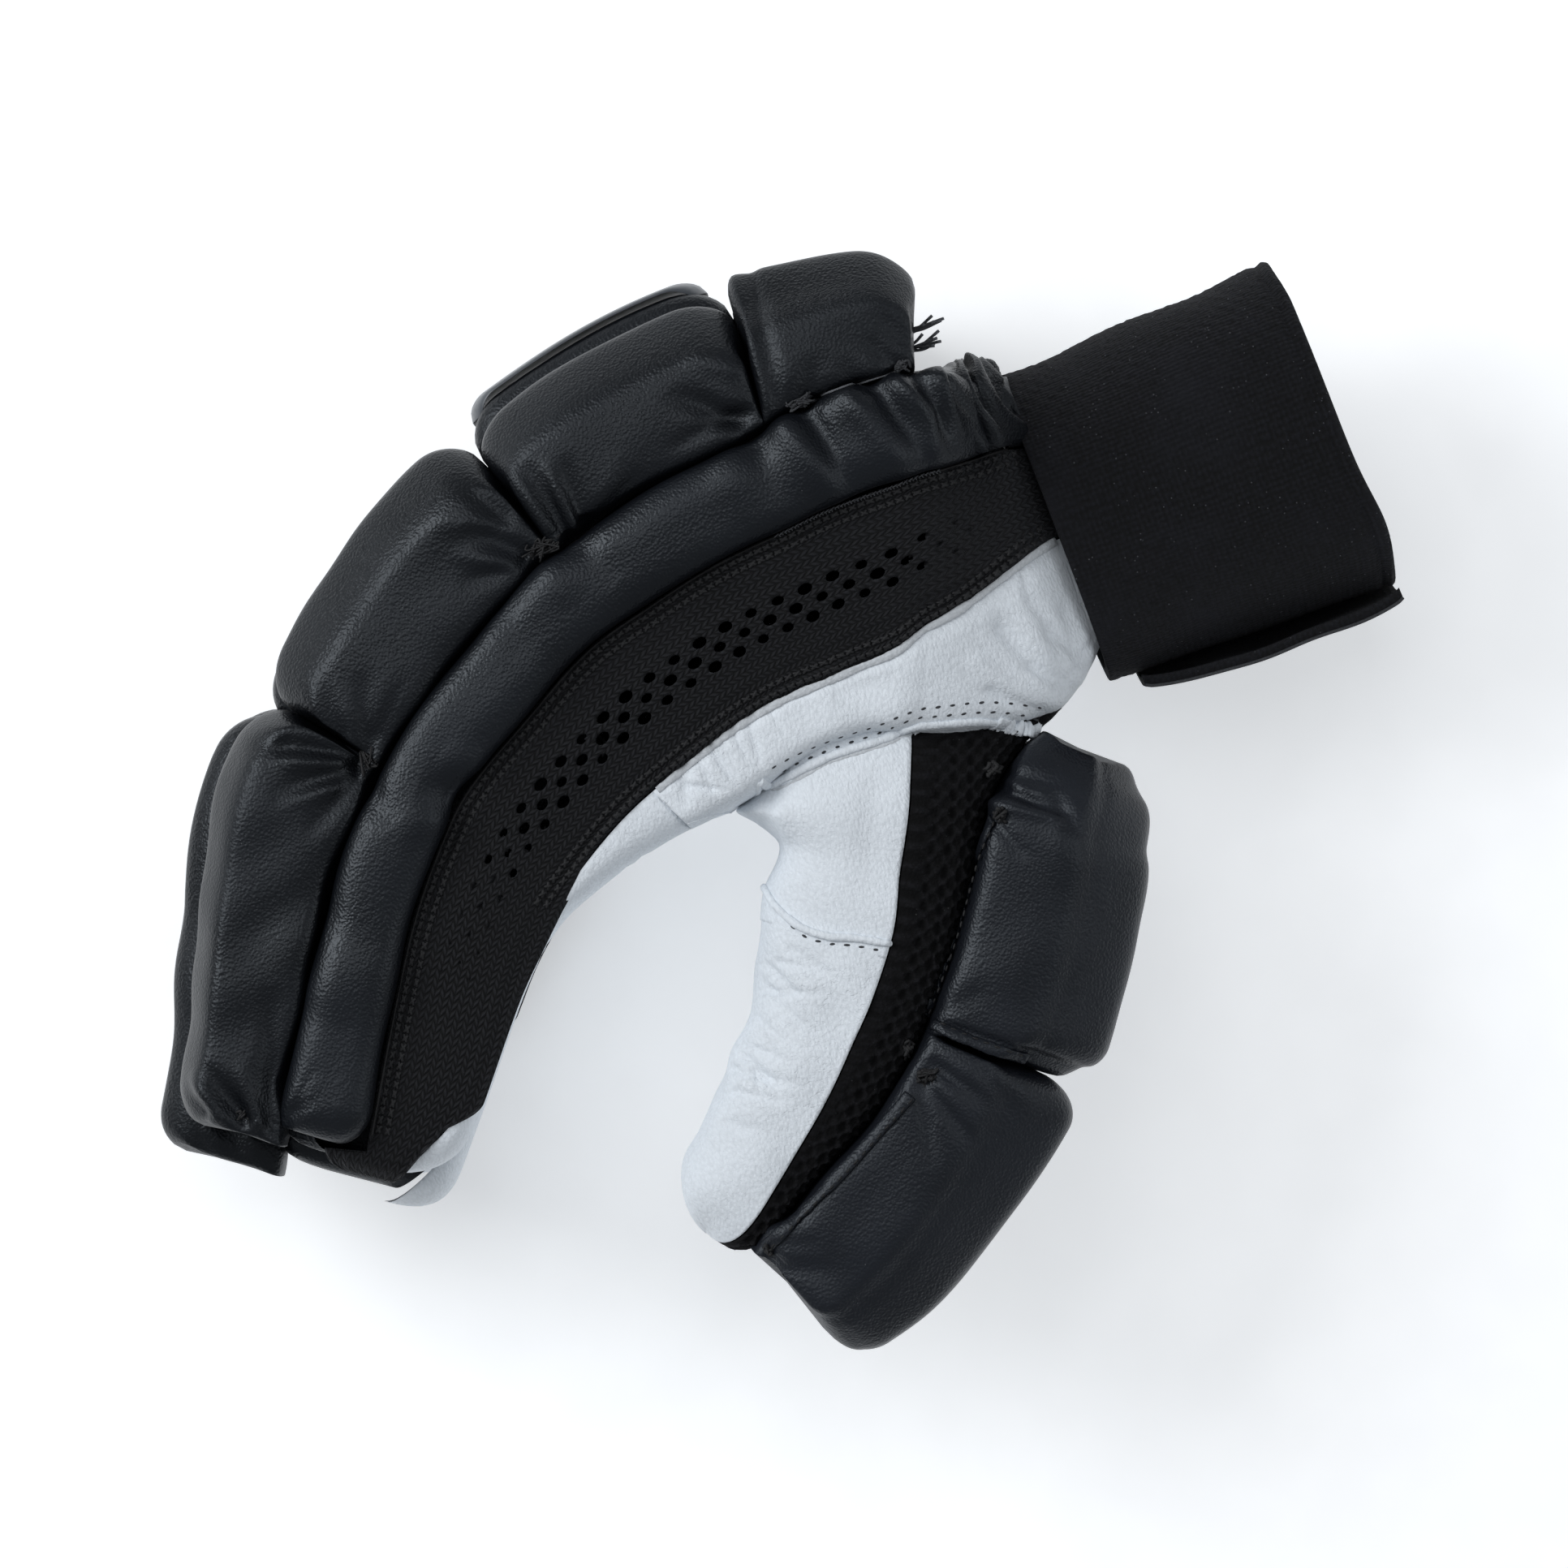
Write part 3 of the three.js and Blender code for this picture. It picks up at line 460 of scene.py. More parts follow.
# ---------------------------------------------------------------- meshes
def grid(points, uv=None, mask=None, material=0):
    """A closed tube: quads between rows that close on themselves, and a fan over each end."""
    rows, cols = points.shape[:2]
    i, j = np.meshgrid(np.arange(rows - 1), np.arange(cols), indexing="ij")
    i, j = i.ravel(), j.ravel()
    jn = (j + 1) % cols
    quads = np.stack([i * cols + j, i * cols + jn, (i + 1) * cols + jn, (i + 1) * cols + j], 1)
    k = np.arange(cols)
    first, last = rows * cols, rows * cols + 1
    tris = np.vstack([
        np.stack([np.full(cols, first), (k + 1) % cols, k], 1),
        np.stack([np.full(cols, last), (rows - 1) * cols + k,
                  (rows - 1) * cols + (k + 1) % cols], 1)])
    flat = np.vstack([points.reshape(-1, 3), points[0].mean(0), points[-1].mean(0)])
    flat_mask = None if mask is None else np.r_[np.broadcast_to(mask, (rows, cols)).ravel(), 0, 0]
    return {"points": flat, "quads": quads, "tris": tris, "mask": flat_mask,
            "uv": None if uv is None else np.vstack([uv.reshape(-1, 2), uv[0, :1], uv[-1, :1]]),
            "material": material}


def wall(outer, inner, uv=None, mask=None, keep=None, ring=False, material=0):
    """A closed wall between an outer and an inner grid. keep says which faces there are, and
    every edge of what is kept gets a rim between the two grids."""
    rows, cols = outer.shape[:2]
    spans = cols if ring else cols - 1
    keep = np.ones((rows - 1, spans), bool) if keep is None else keep
    padded = np.zeros((rows + 1, spans + 2), bool)
    padded[1:-1, 1:-1] = keep
    if ring:
        padded[:, 0], padded[:, -1] = padded[:, -2], padded[:, 1]
    count = rows * cols

    def corner(side, i, j):
        return side * count + i * cols + j % cols

    def faces(where, order):
        i, j = np.nonzero(where)
        return np.stack([corner(s, i + a, j + b) for s, a, b in order], 1)

    a, b, c, d = (0, 0, 0), (0, 0, 1), (0, 1, 1), (0, 1, 0)
    a1, b1, c1, d1 = (1, 0, 0), (1, 0, 1), (1, 1, 1), (1, 1, 0)
    inside = padded[1:-1, 1:-1]
    quads = np.vstack([
        faces(inside, (a, b, c, d)),
        faces(inside, (a1, d1, c1, b1)),
        faces(inside & ~padded[1:-1, :-2], (a, d, d1, a1)),
        faces(inside & ~padded[1:-1, 2:], (c, b, b1, c1)),
        faces(inside & ~padded[:-2, 1:-1], (b, a, a1, b1)),
        faces(inside & ~padded[2:, 1:-1], (d, c, c1, d1)),
    ])
    return {"points": np.vstack([outer.reshape(-1, 3), inner.reshape(-1, 3)]), "quads": quads,
            "tris": np.zeros((0, 3), int),
            "mask": None if mask is None else np.tile(
                np.broadcast_to(mask, (rows, cols)).ravel(), 2),
            "uv": None if uv is None else np.tile(uv.reshape(-1, 2), (2, 1)),
            "material": material}


def outside(inside):
    """Which faces of a grid are not inside with all four of their corners."""
    return ~(inside[:-1, :-1] & inside[1:, 1:] & inside[1:, :-1] & inside[:-1, 1:])


def copies(shape, places, along, up, sizes, material):
    """Many small copies of one closed shape, given as (points, triangles) with x along, y
    across and z up. Each copy's axes are turned to along and up, and scaled by sizes."""
    points, tris = shape
    side = np.cross(up, along)
    side /= np.maximum(np.linalg.norm(side, axis=1, keepdims=True), 1e-12)
    top = np.cross(along, side)
    axes = np.stack([along, side, top], 1)
    scaled = points[None] * np.broadcast_to(sizes, (len(places), 3))[:, None] * MM
    made = np.einsum("nvc,ncd->nvd", scaled, axes) + places[:, None]
    index = tris[None] + (np.arange(len(places)) * len(points))[:, None, None]
    return {"points": made.reshape(-1, 3), "quads": np.zeros((0, 4), int),
            "tris": index.reshape(-1, 3), "mask": None, "uv": None, "material": material}


def bead(sides=6, rings=3):
    """A unit ellipsoid: rings of sides points between two poles."""
    lat = np.linspace(-math.pi / 2, math.pi / 2, rings + 2)[1:-1]
    lon = np.arange(sides) * 2 * math.pi / sides
    points = np.stack([
        np.repeat(np.sin(lat), sides),
        np.outer(np.cos(lat), np.cos(lon)).ravel(),
        np.outer(np.cos(lat), np.sin(lon)).ravel()], 1)
    points = np.vstack([points, [[-1, 0, 0], [1, 0, 0]]]) / 2
    tris = []
    for r in range(rings - 1):
        a = r * sides + np.arange(sides)
        b = r * sides + (np.arange(sides) + 1) % sides
        tris += [np.stack([a, a + sides, b], 1), np.stack([b, a + sides, b + sides], 1)]
    a, b = np.arange(sides), (np.arange(sides) + 1) % sides
    last = (rings - 1) * sides
    tris += [np.stack([np.full(sides, rings * sides), a, b], 1),
             np.stack([np.full(sides, rings * sides + 1), last + b, last + a], 1)]
    return points, np.vstack(tris)


def tube(path, radius, sides=10, flat=1.0, up=(0, 0, 1), material=0):
    """A round or flattened tube along a path of points: its ring turns with the path."""
    path = np.asarray(path, float)
    way = np.gradient(path, axis=0)
    way /= np.maximum(np.linalg.norm(way, axis=1, keepdims=True), 1e-12)
    side = np.cross(way, np.broadcast_to(np.asarray(up, float), way.shape))
    side /= np.maximum(np.linalg.norm(side, axis=1, keepdims=True), 1e-12)
    top = np.cross(side, way)
    angle = np.arange(sides) * 2 * math.pi / sides
    radius = np.broadcast_to(radius, len(path))[:, None, None] * MM
    ring = (side[:, None] * np.cos(angle)[None, :, None]
            + top[:, None] * np.sin(angle)[None, :, None] * flat)
    return grid(path[:, None] + ring * radius, material=material)


def resampled(path, pitch):
    """Points pitch millimetres apart along a path of points in metres."""
    path = np.asarray(path, float)
    length = np.r_[0, np.cumsum(np.linalg.norm(np.diff(path, axis=0), axis=1))]
    at = np.arange(pitch * MM / 2, length[-1], pitch * MM)
    return np.stack([np.interp(at, length, path[:, c]) for c in range(3)], 1)


def spline(points, count):
    """Points count of a Catmull-Rom curve through a few points, evenly spread over them."""
    p = np.asarray(points, float)
    p = np.vstack([2 * p[0] - p[1], p, 2 * p[-1] - p[-2]])
    at = np.linspace(0, len(p) - 3, count)
    i = np.minimum(at.astype(int), len(p) - 4)
    t = (at - i)[:, None]
    a, b, c, d = p[i], p[i + 1], p[i + 2], p[i + 3]
    return 0.5 * (2 * b + (c - a) * t + (2 * a - 5 * b + 4 * c - d) * t ** 2
                  + (3 * b - a - 3 * c + d) * t ** 3)


def build(name, parts, materials, replaces=()):
    """Joins the parts into one mesh object, each part turned so that its faces point out,
    with smooth faces, a UV map in metres and a mask attribute, riding on the glove."""
    points, loops, sizes, uvs, masks, slots = [], [], [], [], [], []
    offset = 0
    for part in parts:
        p, quads, tris = part["points"], part["quads"], part["tris"]
        three = np.vstack([quads[:, [0, 1, 2]], quads[:, [0, 2, 3]], tris])
        centre = p.mean(0)
        a, b, c = (p[three[:, n]] - centre for n in range(3))
        if (a * np.cross(b, c)).sum() < 0:
            quads, tris = quads[:, ::-1], tris[:, ::-1]
        used, index = np.unique(np.r_[quads.ravel(), tris.ravel()], return_inverse=True)
        points.append(p[used])
        loops.append(index.ravel() + offset)
        sizes.append(np.r_[np.full(len(quads), 4), np.full(len(tris), 3)])
        uv = np.zeros((len(p), 2)) if part["uv"] is None else part["uv"]
        uvs.append(uv[used][index.ravel()])
        masks.append(np.zeros(len(used)) if part["mask"] is None else part["mask"][used])
        slots.append(np.full(len(quads) + len(tris), part["material"]))
        offset += len(used)
    points, loops, sizes = np.vstack(points), np.concatenate(loops), np.concatenate(sizes)
    mesh = bpy.data.meshes.new(name)
    mesh.vertices.add(len(points))
    mesh.vertices.foreach_set("co", points.astype(np.float32).ravel())
    mesh.loops.add(len(loops))
    mesh.loops.foreach_set("vertex_index", loops.astype(np.int32))
    mesh.polygons.add(len(sizes))
    starts = np.r_[0, np.cumsum(sizes)[:-1]].astype(np.int32)
    mesh.polygons.foreach_set("loop_start", starts)
    mesh.polygons.foreach_set("material_index", np.concatenate(slots).astype(np.int32))
    mesh.polygons.foreach_set("use_smooth", np.ones(len(sizes), bool))
    mesh.update(calc_edges=True)
    mesh.uv_layers.new(name="surface").data.foreach_set(
        "uv", np.vstack(uvs).astype(np.float32).ravel())
    mesh.attributes.new("mask", "FLOAT", "POINT").data.foreach_set(
        "value", np.concatenate(masks).astype(np.float32))
    if mesh.validate():
        raise RuntimeError(f"{name}: the mesh had faults")
    for material in materials:
        mesh.materials.append(material)
    piece = bpy.data.objects.new(name, mesh)
    bpy.context.scene.collection.objects.link(piece)
    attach(piece, "root")
    if replaces:
        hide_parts(*replaces)
    return piece


# ---------------------------------------------------------------- materials
class Nodes:
    """Adds and joins the shader nodes of one material. A socket is given as a node output, and
    anything else is set as the input's own value."""

    def __init__(self, name):
        self.material = bpy.data.materials.new(name)
        self.material.use_nodes = True
        self.tree = self.material.node_tree
        self.shader = self.tree.nodes["Principled BSDF"]

    def add(self, kind, settings=(), **inputs):
        node = self.tree.nodes.new("ShaderNode" + kind)
        for key, value in dict(settings).items():
            setattr(node, key, value)
        for key, value in inputs.items():
            self.put(node.inputs[int(key[1:]) if key[1:].isdigit() else key.replace("_", " ")],
                     value)
        return node

    def put(self, socket, value):
        if isinstance(value, bpy.types.NodeSocket):
            self.tree.links.new(value, socket)
        else:
            socket.default_value = value

    def math(self, operation, a, b=0.0, c=0.0):
        return self.add("Math", {"operation": operation}, i0=a, i1=b, i2=c).outputs[0]

    def span(self, value, low, high, to_low=0.0, to_high=1.0):
        """Value mapped from low..high to to_low..to_high, smoothly and held at both ends."""
        return self.add("MapRange", {"interpolation_type": "SMOOTHSTEP"}, Value=value,
                        i1=low, i2=high, i3=to_low, i4=to_high).outputs[0]

    def mix(self, share, a, b):
        node = self.add("Mix", {"data_type": "RGBA"})
        self.put(node.inputs[0], share)
        self.put(node.inputs[6], a)
        self.put(node.inputs[7], b)
        return node.outputs[2]

    def noise(self, vector, scale, detail=2.0, roughness=0.5):
        return self.add("TexNoise", Vector=vector, Scale=scale, Detail=detail,
                        Roughness=roughness).outputs["Fac"]

    def cells(self, vector, scale, feature="F1"):
        """Distance to the nearest cell's centre or edge."""
        return self.add("TexVoronoi", {"feature": feature}, Vector=vector,
                        Scale=scale).outputs["Distance"]

    def mapped(self, vector, scale, turn=(0, 0, 0)):
        return self.add("Mapping", i2=turn, i3=scale, Vector=vector).outputs[0]

    def specks(self, vector, scale, size, patch_scale, detail, least):
        """1 within size of a cell's centre, where a broad noise is above least."""
        return self.math("MULTIPLY", self.math("LESS_THAN", self.cells(vector, scale), size),
                         self.math("GREATER_THAN", self.noise(vector, patch_scale, detail), least))

    def object_place(self):
        return self.add("TexCoord").outputs["Object"]

    def mask(self):
        return self.add("Attribute", {"attribute_name": "mask"}).outputs["Fac"]

    def surface(self):
        """The piece's own UV map, in metres, as (u, v)."""
        node = self.add("UVMap", {"uv_map": "surface"})
        split = self.add("SeparateXYZ", Vector=node.outputs[0])
        return node.outputs[0], split.outputs[0], split.outputs[1]

    def bump(self, height, distance, strength=1.0, normal=None):
        node = self.add("Bump", Height=height, Strength=strength, Distance=distance)
        if normal is not None:
            self.put(node.inputs["Normal"], normal)
        return node.outputs[0]

    def finish(self, **inputs):
        for key, value in inputs.items():
            self.put(self.shader.inputs[key.replace("_", " ")], value)
        return self.material


def rgb(colour, factor=1.0):
    """A colour with alpha 1, brightened by a factor."""
    return (*(min(1.0, c * factor) for c in tuple(colour)[:3]), 1.0)


def black_leather(name, colour, look, shine=0.40):
    """Soft coated leather: pebbles a fraction of a millimetre wide that stretch into short
    creases where the mask is high, broad uneven sheen, paler rubbed places and dust specks."""
    n = Nodes(name)
    place = n.object_place()
    grain = n.cells(place, 1 / look.grain, "SMOOTH_F1")
    fine = n.noise(place, 2600, 3)
    broad = n.noise(place, 38, 3)
    wrinkle = n.cells(n.mapped(place, (0.42, 1.5, 1.0), (0, 0, 0.5)), 1500, "DISTANCE_TO_EDGE")
    rough = n.span(n.math("ADD", broad, n.math("MULTIPLY", fine, 0.35)), 0.35, 0.95,
                   shine - 0.03, shine + 0.08)
    dust = n.specks(place, 420, 0.055, 160, 2, 0.60)
    base = n.mix(n.span(broad, 0.3, 0.75), rgb(colour, 0.8), rgb(colour, 1.35))
    base = n.mix(n.math("MULTIPLY", dust, 0.4), base, (0.16, 0.165, 0.17, 1))
    low = n.bump(broad, 0.0022, 0.06)
    creased = n.bump(n.math("MULTIPLY", n.mask(), n.span(wrinkle, 0.0, 0.25)), 0.0002, 0.5, low)
    pebbles = n.bump(grain, 0.00020, 0.8, creased)
    return n.finish(Base_Color=base, Roughness=rough, Normal=n.bump(fine, 0.00003, 0.5, pebbles),
                    Specular_IOR_Level=0.34, Specular_Tint=(0.86, 0.93, 1.0, 1))


def white_leather(name, colour, look):
    """Dressed leather: fine long grain, faint cloudy shade, and creases where the mask is."""
    n = Nodes(name)
    place = n.object_place()
    grain = n.cells(n.mapped(place, (1.0, 0.55, 0.8), (0.2, 0.1, 0.9)), 1 / look.grain,
                    "SMOOTH_F1")
    pores = n.noise(place, 3000, 3)
    cloud = n.noise(place, 45, 4)
    waves = n.noise(n.mapped(place, (0.35, 1.0, 0.7), (0, 0, 0.5)), 330, 3, 0.6)
    level = n.math("ABSOLUTE", n.math("SUBTRACT", waves, 0.5))
    line = n.math("MULTIPLY", n.mask(), n.span(level, 0.014, 0.0))
    base = n.mix(n.span(cloud, 0.3, 0.8), rgb(colour, 0.96), rgb(colour, 1.03))
    base = n.mix(n.math("MULTIPLY", line, 0.08), base, rgb(colour, 0.72))
    base = n.mix(n.span(grain, 0.15, 0.75, 0.0, 0.30), base, rgb(colour, 0.72))
    soft = n.bump(cloud, 0.003, 0.05)
    creased = n.bump(n.math("MULTIPLY", line, -1.0), 0.0003, 0.4, soft)
    return n.finish(Base_Color=base, Roughness=n.span(cloud, 0.2, 0.8, 0.52, 0.66),
                    Normal=n.bump(n.math("ADD", grain, n.math("MULTIPLY", pores, 0.6)),
                                  0.00032, 0.8, creased),
                    Specular_IOR_Level=0.35, Sheen_Weight=0.04)


def knit(name, colour, look):
    """Ribbed knit along the run: each wale is two strands that meet in a row of Vs, with
    finer fibres over them. The V's height is a cosine along the run, shifted by how far the
    point is from the middle of its wale. The colour follows this height as painted shade between
    the strands and painted light on their tops."""
    n = Nodes(name)
    _, u, v = n.surface()
    x = n.math("DIVIDE", v, look.wale)
    y = n.math("DIVIDE", u, look.stitch)
    off = n.math("ABSOLUTE", n.math("SUBTRACT", n.math("FRACT", x), 0.5))
    strand = n.math("SUBTRACT", 1.0, n.math(
        "POWER", n.math("DIVIDE", n.math("SUBTRACT", off, 0.25), 0.25), 2.0))
    strand = n.math("SQRT", n.math("MAXIMUM", strand, 0.0))
    slope = n.math("ADD", y, n.math("MULTIPLY", off, 1.5))
    loop = n.math("ADD", 0.5, n.math("MULTIPLY", n.math(
        "COSINE", n.math("MULTIPLY", slope, 2 * math.pi)), 0.5))
    height = n.math("MULTIPLY", strand, n.math("POWER", loop, 0.6))
    place = n.object_place()
    fibre = n.noise(place, 2400, 4, 0.7)
    patch = n.noise(place, 60, 3)
    tall = n.math("ADD", height, n.math("MULTIPLY", fibre, 0.35))
    fluff = n.math("GREATER_THAN", n.noise(place, 1300, 2), 0.735)
    # Painted shade where the strands are low, and painted light on their tops.
    base = n.mix(n.span(tall, 0.25, 1.2), rgb(colour, 0.30), rgb(colour, 1.9))
    base = n.mix(n.span(patch, 0.25, 0.8, 0.0, 0.35), base, rgb(colour, 1.2))
    base = n.mix(n.math("MULTIPLY", fluff, 0.25), base, (0.06, 0.063, 0.068, 1))
    return n.finish(Base_Color=base, Roughness=0.85, Normal=n.bump(tall, 0.00075, 1.0),
                    Specular_IOR_Level=0.25, Sheen_Weight=0.05, Sheen_Roughness=0.4,
                    Sheen_Tint=(0.7, 0.75, 0.85, 1))


def fibres(name, colour, scale, depth, contrast=0.65, lint=0.0, pits=0.0):
    """Fibrous cloth: loops of a given scale as cells, finer fibres over them, and lint. The colour
    follows the loops' height as painted shade and light, and pits where the mask is can be painted
    dark as shade.
    """
    n = Nodes(name)
    place = n.object_place()
    loops = n.cells(place, scale, "SMOOTH_F1")
    fibre = n.noise(place, scale * 2.6, 4, 0.75)
    patch = n.noise(place, 55, 4, 0.6)
    tall = n.math("ADD", n.math("MULTIPLY", loops, -1.0), n.math("MULTIPLY", fibre, 0.7))
    # Painted shade where the loops are low, and painted light where they stand high.
    base = n.mix(n.span(tall, -0.55, 0.5), rgb(colour, 1 - contrast), rgb(colour, 1 + contrast))
    base = n.mix(n.span(patch, 0.35, 0.75, 0.0, 0.5), base, rgb(colour, 1 + contrast / 3))
    # Painted shade in the pits: where the mask is, the colour is drawn towards 0.12 of itself.
    if pits:
        base = n.mix(n.math("MULTIPLY", n.mask(), pits), base, rgb(colour, 0.12))
    if lint:
        bits = n.specks(place, 520, 0.075, 210, 2, 0.53)
        base = n.mix(n.math("MULTIPLY", bits, lint), base, (0.16, 0.165, 0.17, 1))
    return n.finish(Base_Color=base, Roughness=0.9, Normal=n.bump(tall, depth, 1.0),
                    Specular_IOR_Level=0.2)


def towelling(name, colour, look):
    """Cropped pile in fine rows round the wristband: short loops on a woven ground, painted shade
    and light that follow the pile's height, paler patches of painted sheen, and lint."""
    n = Nodes(name)
    _, u, v = n.surface()
    row = n.math("SINE", n.math("MULTIPLY", u, 2 * math.pi / look.pile))
    wale = n.math("SINE", n.math("MULTIPLY", v, 2 * math.pi / (look.pile * 0.8)))
    place = n.object_place()
    loops = n.cells(place, 900)
    fibre = n.noise(place, 2800, 4, 0.75)
    patch = n.noise(place, 42, 5, 0.65)
    tall = n.math("ADD", n.math("MULTIPLY", n.math("ADD", row, wale), 0.16),
                  n.math("SUBTRACT", fibre, n.math("MULTIPLY", loops, 0.8)))
    bits = n.specks(place, 600, 0.09, 120, 3, 0.50)
    # The colour follows the pile's height: painted shade where it is low and painted light where
    # it stands high.
    base = n.mix(n.span(tall, -0.3, 0.8), rgb(colour, 0.25), rgb(colour, 2.3))
    # Paler patches of painted sheen: the colour is raised where a broad noise is high, while the
    # roughness stays the same.
    base = n.mix(n.span(patch, 0.45, 0.8, 0.0, 0.8), base, rgb(colour, 2.7))
    base = n.mix(n.math("MULTIPLY", bits, 0.8), base, (0.14, 0.145, 0.16, 1))
    return n.finish(Base_Color=base, Roughness=0.88, Normal=n.bump(tall, 0.0008, 1.0),
                    Specular_IOR_Level=0.3, Sheen_Weight=0.03, Sheen_Roughness=0.4,
                    Sheen_Tint=(0.7, 0.76, 0.9, 1))


def plate_gloss(name, colour):
    """Moulded plate with a hard gloss, faint orange peel and hairline scuffs."""
    n = Nodes(name)
    place = n.object_place()
    peel = n.noise(place, 300, 2)
    scuff = n.noise(n.mapped(place, (0.15, 1.0, 1.0)), 900, 3)
    base = n.mix(n.span(n.noise(place, 30, 3), 0.3, 0.8), rgb(colour, 0.85), rgb(colour, 1.15))
    return n.finish(Base_Color=base, Roughness=n.span(scuff, 0.45, 0.75, 0.36, 0.48),
                    Normal=n.bump(peel, 0.0002, 0.15), Coat_Weight=0.1, Coat_Roughness=0.3,
                    Specular_IOR_Level=0.6)


def thread(name, colour):
    """Twisted thread: fine slanting bands with a little gloss."""
    n = Nodes(name)
    place = n.object_place()
    twist = n.noise(place, 3500, 3, 0.7)
    base = n.mix(n.span(twist, 0.3, 0.7), rgb(colour, 0.5), rgb(colour, 1.5))
    return n.finish(Base_Color=base, Roughness=0.6, Normal=n.bump(twist, 0.0002, 0.8),
                    Specular_IOR_Level=0.4)


MATERIALS = {}


def material(name):
    """One of the glove's materials, made once from the panel's colours."""
    if not MATERIALS:
        tint, look = bpy.context.scene.glove_colours, bpy.context.scene.glove_sizes
        MATERIALS.update(
            roll=black_leather("roll_leather", tint.roll_leather, look, 0.37),
            # The thumb's leather is the roll leather made lighter: partly its own bluish-grey tone
            # and partly painted light that the thumb rolls catch.
            thumb=black_leather("thumb_leather", tint.thumb_leather, look, 0.38),
            bar=black_leather("bar_leather", tint.bar_leather, look, 0.35),
            white=white_leather("palm_leather", tint.palm_leather, look),
            # Raw edges, and also the painted shadow under the palm's hem.
            edge=fibres("cut_leather_edge_and_hem_shadow", tint.cut_edge_and_hem_shadow, 1500, 0.0002, 0.14),
            knit=knit("ribbed_knit", tint.knit, look),
            # The spacer mesh's pits are painted dark as shade, by their depth in the mask.
            mesh=fibres("spacer_mesh", tint.mesh, 1300, 0.0005, 0.7, 0.3, 0.9),
            lining=fibres("lining", tint.lining, 700, 0.0003),
            towelling=towelling("towelling", tint.towelling, look),
            plate=plate_gloss("back_plate", tint.plate),
            thread=thread("black_thread", tint.thread),
            knit_thread=thread("knit_thread", tint.knit),
            tie=thread("tie_thread", tint.tie),
            frayed=thread("frayed_thread", tint.frayed),
            hole=thread("needle_hole", tint.hole),
        )
    return MATERIALS[name]


def millimetre(name, text, value):
    """A length property in metres, from a value in millimetres."""
    return bpy.props.FloatProperty(name=name, description=text, default=value * MM,
                                   min=1e-5, subtype="DISTANCE", unit="LENGTH", precision=5)


def colour(name, text, value):
    """A colour property."""
    return bpy.props.FloatVectorProperty(name=name, description=text, default=value, size=3,
                                         min=0, max=1, subtype="COLOR")


class GloveSizes(bpy.types.PropertyGroup):
    """Sizes of the finish, in metres."""
    grain: millimetre("Grain", "Width of one pebble of the leather's grain", 0.62)
    wale: millimetre("Wale", "Width of one column of knit stitches", 2.3)
    stitch: millimetre("Knit stitch", "Length of one knit stitch", 2.0)
    eyelet_pitch: millimetre("Eyelet pitch", "Distance between eyelets along a row", 7.4)
    eyelet_rows: millimetre("Eyelet rows", "Distance between two rows of eyelets", 3.3)
    eyelet_length: millimetre("Eyelet length", "Length of an eyelet along the run", 3.9)
    eyelet_width: millimetre("Eyelet width", "Width of an eyelet", 2.5)
    cell: millimetre("Mesh cell", "Distance between the thumb mesh's cells", 4.0)
    cell_depth: millimetre("Cell depth", "Depth of the thumb mesh's cells", 1.3)
    pile: millimetre("Pile rows", "Distance between rows of the towelling's pile", 1.3)
    needle_pitch: millimetre("Needle pitch", "Distance between needle holes", 3.4)


class GloveColours(bpy.types.PropertyGroup):
    """Colours of the materials."""
    roll_leather: colour("Roll leather", "Black leather of the rolls", (0.0024, 0.0029, 0.0042))
    # Lighter than the roll leather: partly its own bluish-grey tone and partly painted light on
    # the thumb rolls.
    thumb_leather: colour("Thumb leather", "Black leather of the thumb", (0.0070, 0.0082, 0.0115))
    bar_leather: colour("Bar leather", "Black leather of the side bars", (0.0044, 0.0053, 0.0074))
    palm_leather: colour("Palm leather", "White leather", (0.79, 0.84, 0.89))
    # Also the colour of the strip under the hem, which is painted shadow.
    cut_edge_and_hem_shadow: colour("Cut edge", "Raw edge of the white leather", (0.58, 0.61, 0.64))
    knit: colour("Knit", "Black knit and mesh", (0.0075, 0.0078, 0.0092))
    mesh: colour("Mesh", "Spacer mesh of the thumb", (0.0085, 0.0085, 0.0105))
    lining: colour("Lining", "Hidden cloth and lining", (0.02, 0.02, 0.022))
    towelling: colour("Towelling", "Wristband", (0.0038, 0.0041, 0.0060))
    plate: colour("Plate", "Plate on the back of the hand", (0.050, 0.058, 0.068))
    thread: colour("Thread", "Black thread", (0.008, 0.008, 0.009))
    tie: colour("Tie", "Threads that tie the pads down", (0.030, 0.032, 0.036))
    frayed: colour("Frayed thread", "Grey thread ends", (0.10, 0.105, 0.115))
    hole: colour("Needle hole", "Shade in a needle hole", (0.035, 0.037, 0.042))


# ---------------------------------------------------------------- pieces
def cuff(run, angle, offset):
    """Place on the wristband: a squared ellipse whose height and thickness change evenly from
    the hand end to the arm end."""
    share = -run / CUFF_LENGTH
    high = lerp(*CUFF_HEIGHT, share) / 2 + offset
    deep = lerp(*CUFF_THICKNESS, share) / 2 + offset

    def bulge(value):
        return np.sign(value) * np.abs(value) ** 0.8
    return bend(HAND_LINE, run, high * bulge(np.sin(angle)),
                HAND_CENTRE + deep * bulge(np.cos(angle)))


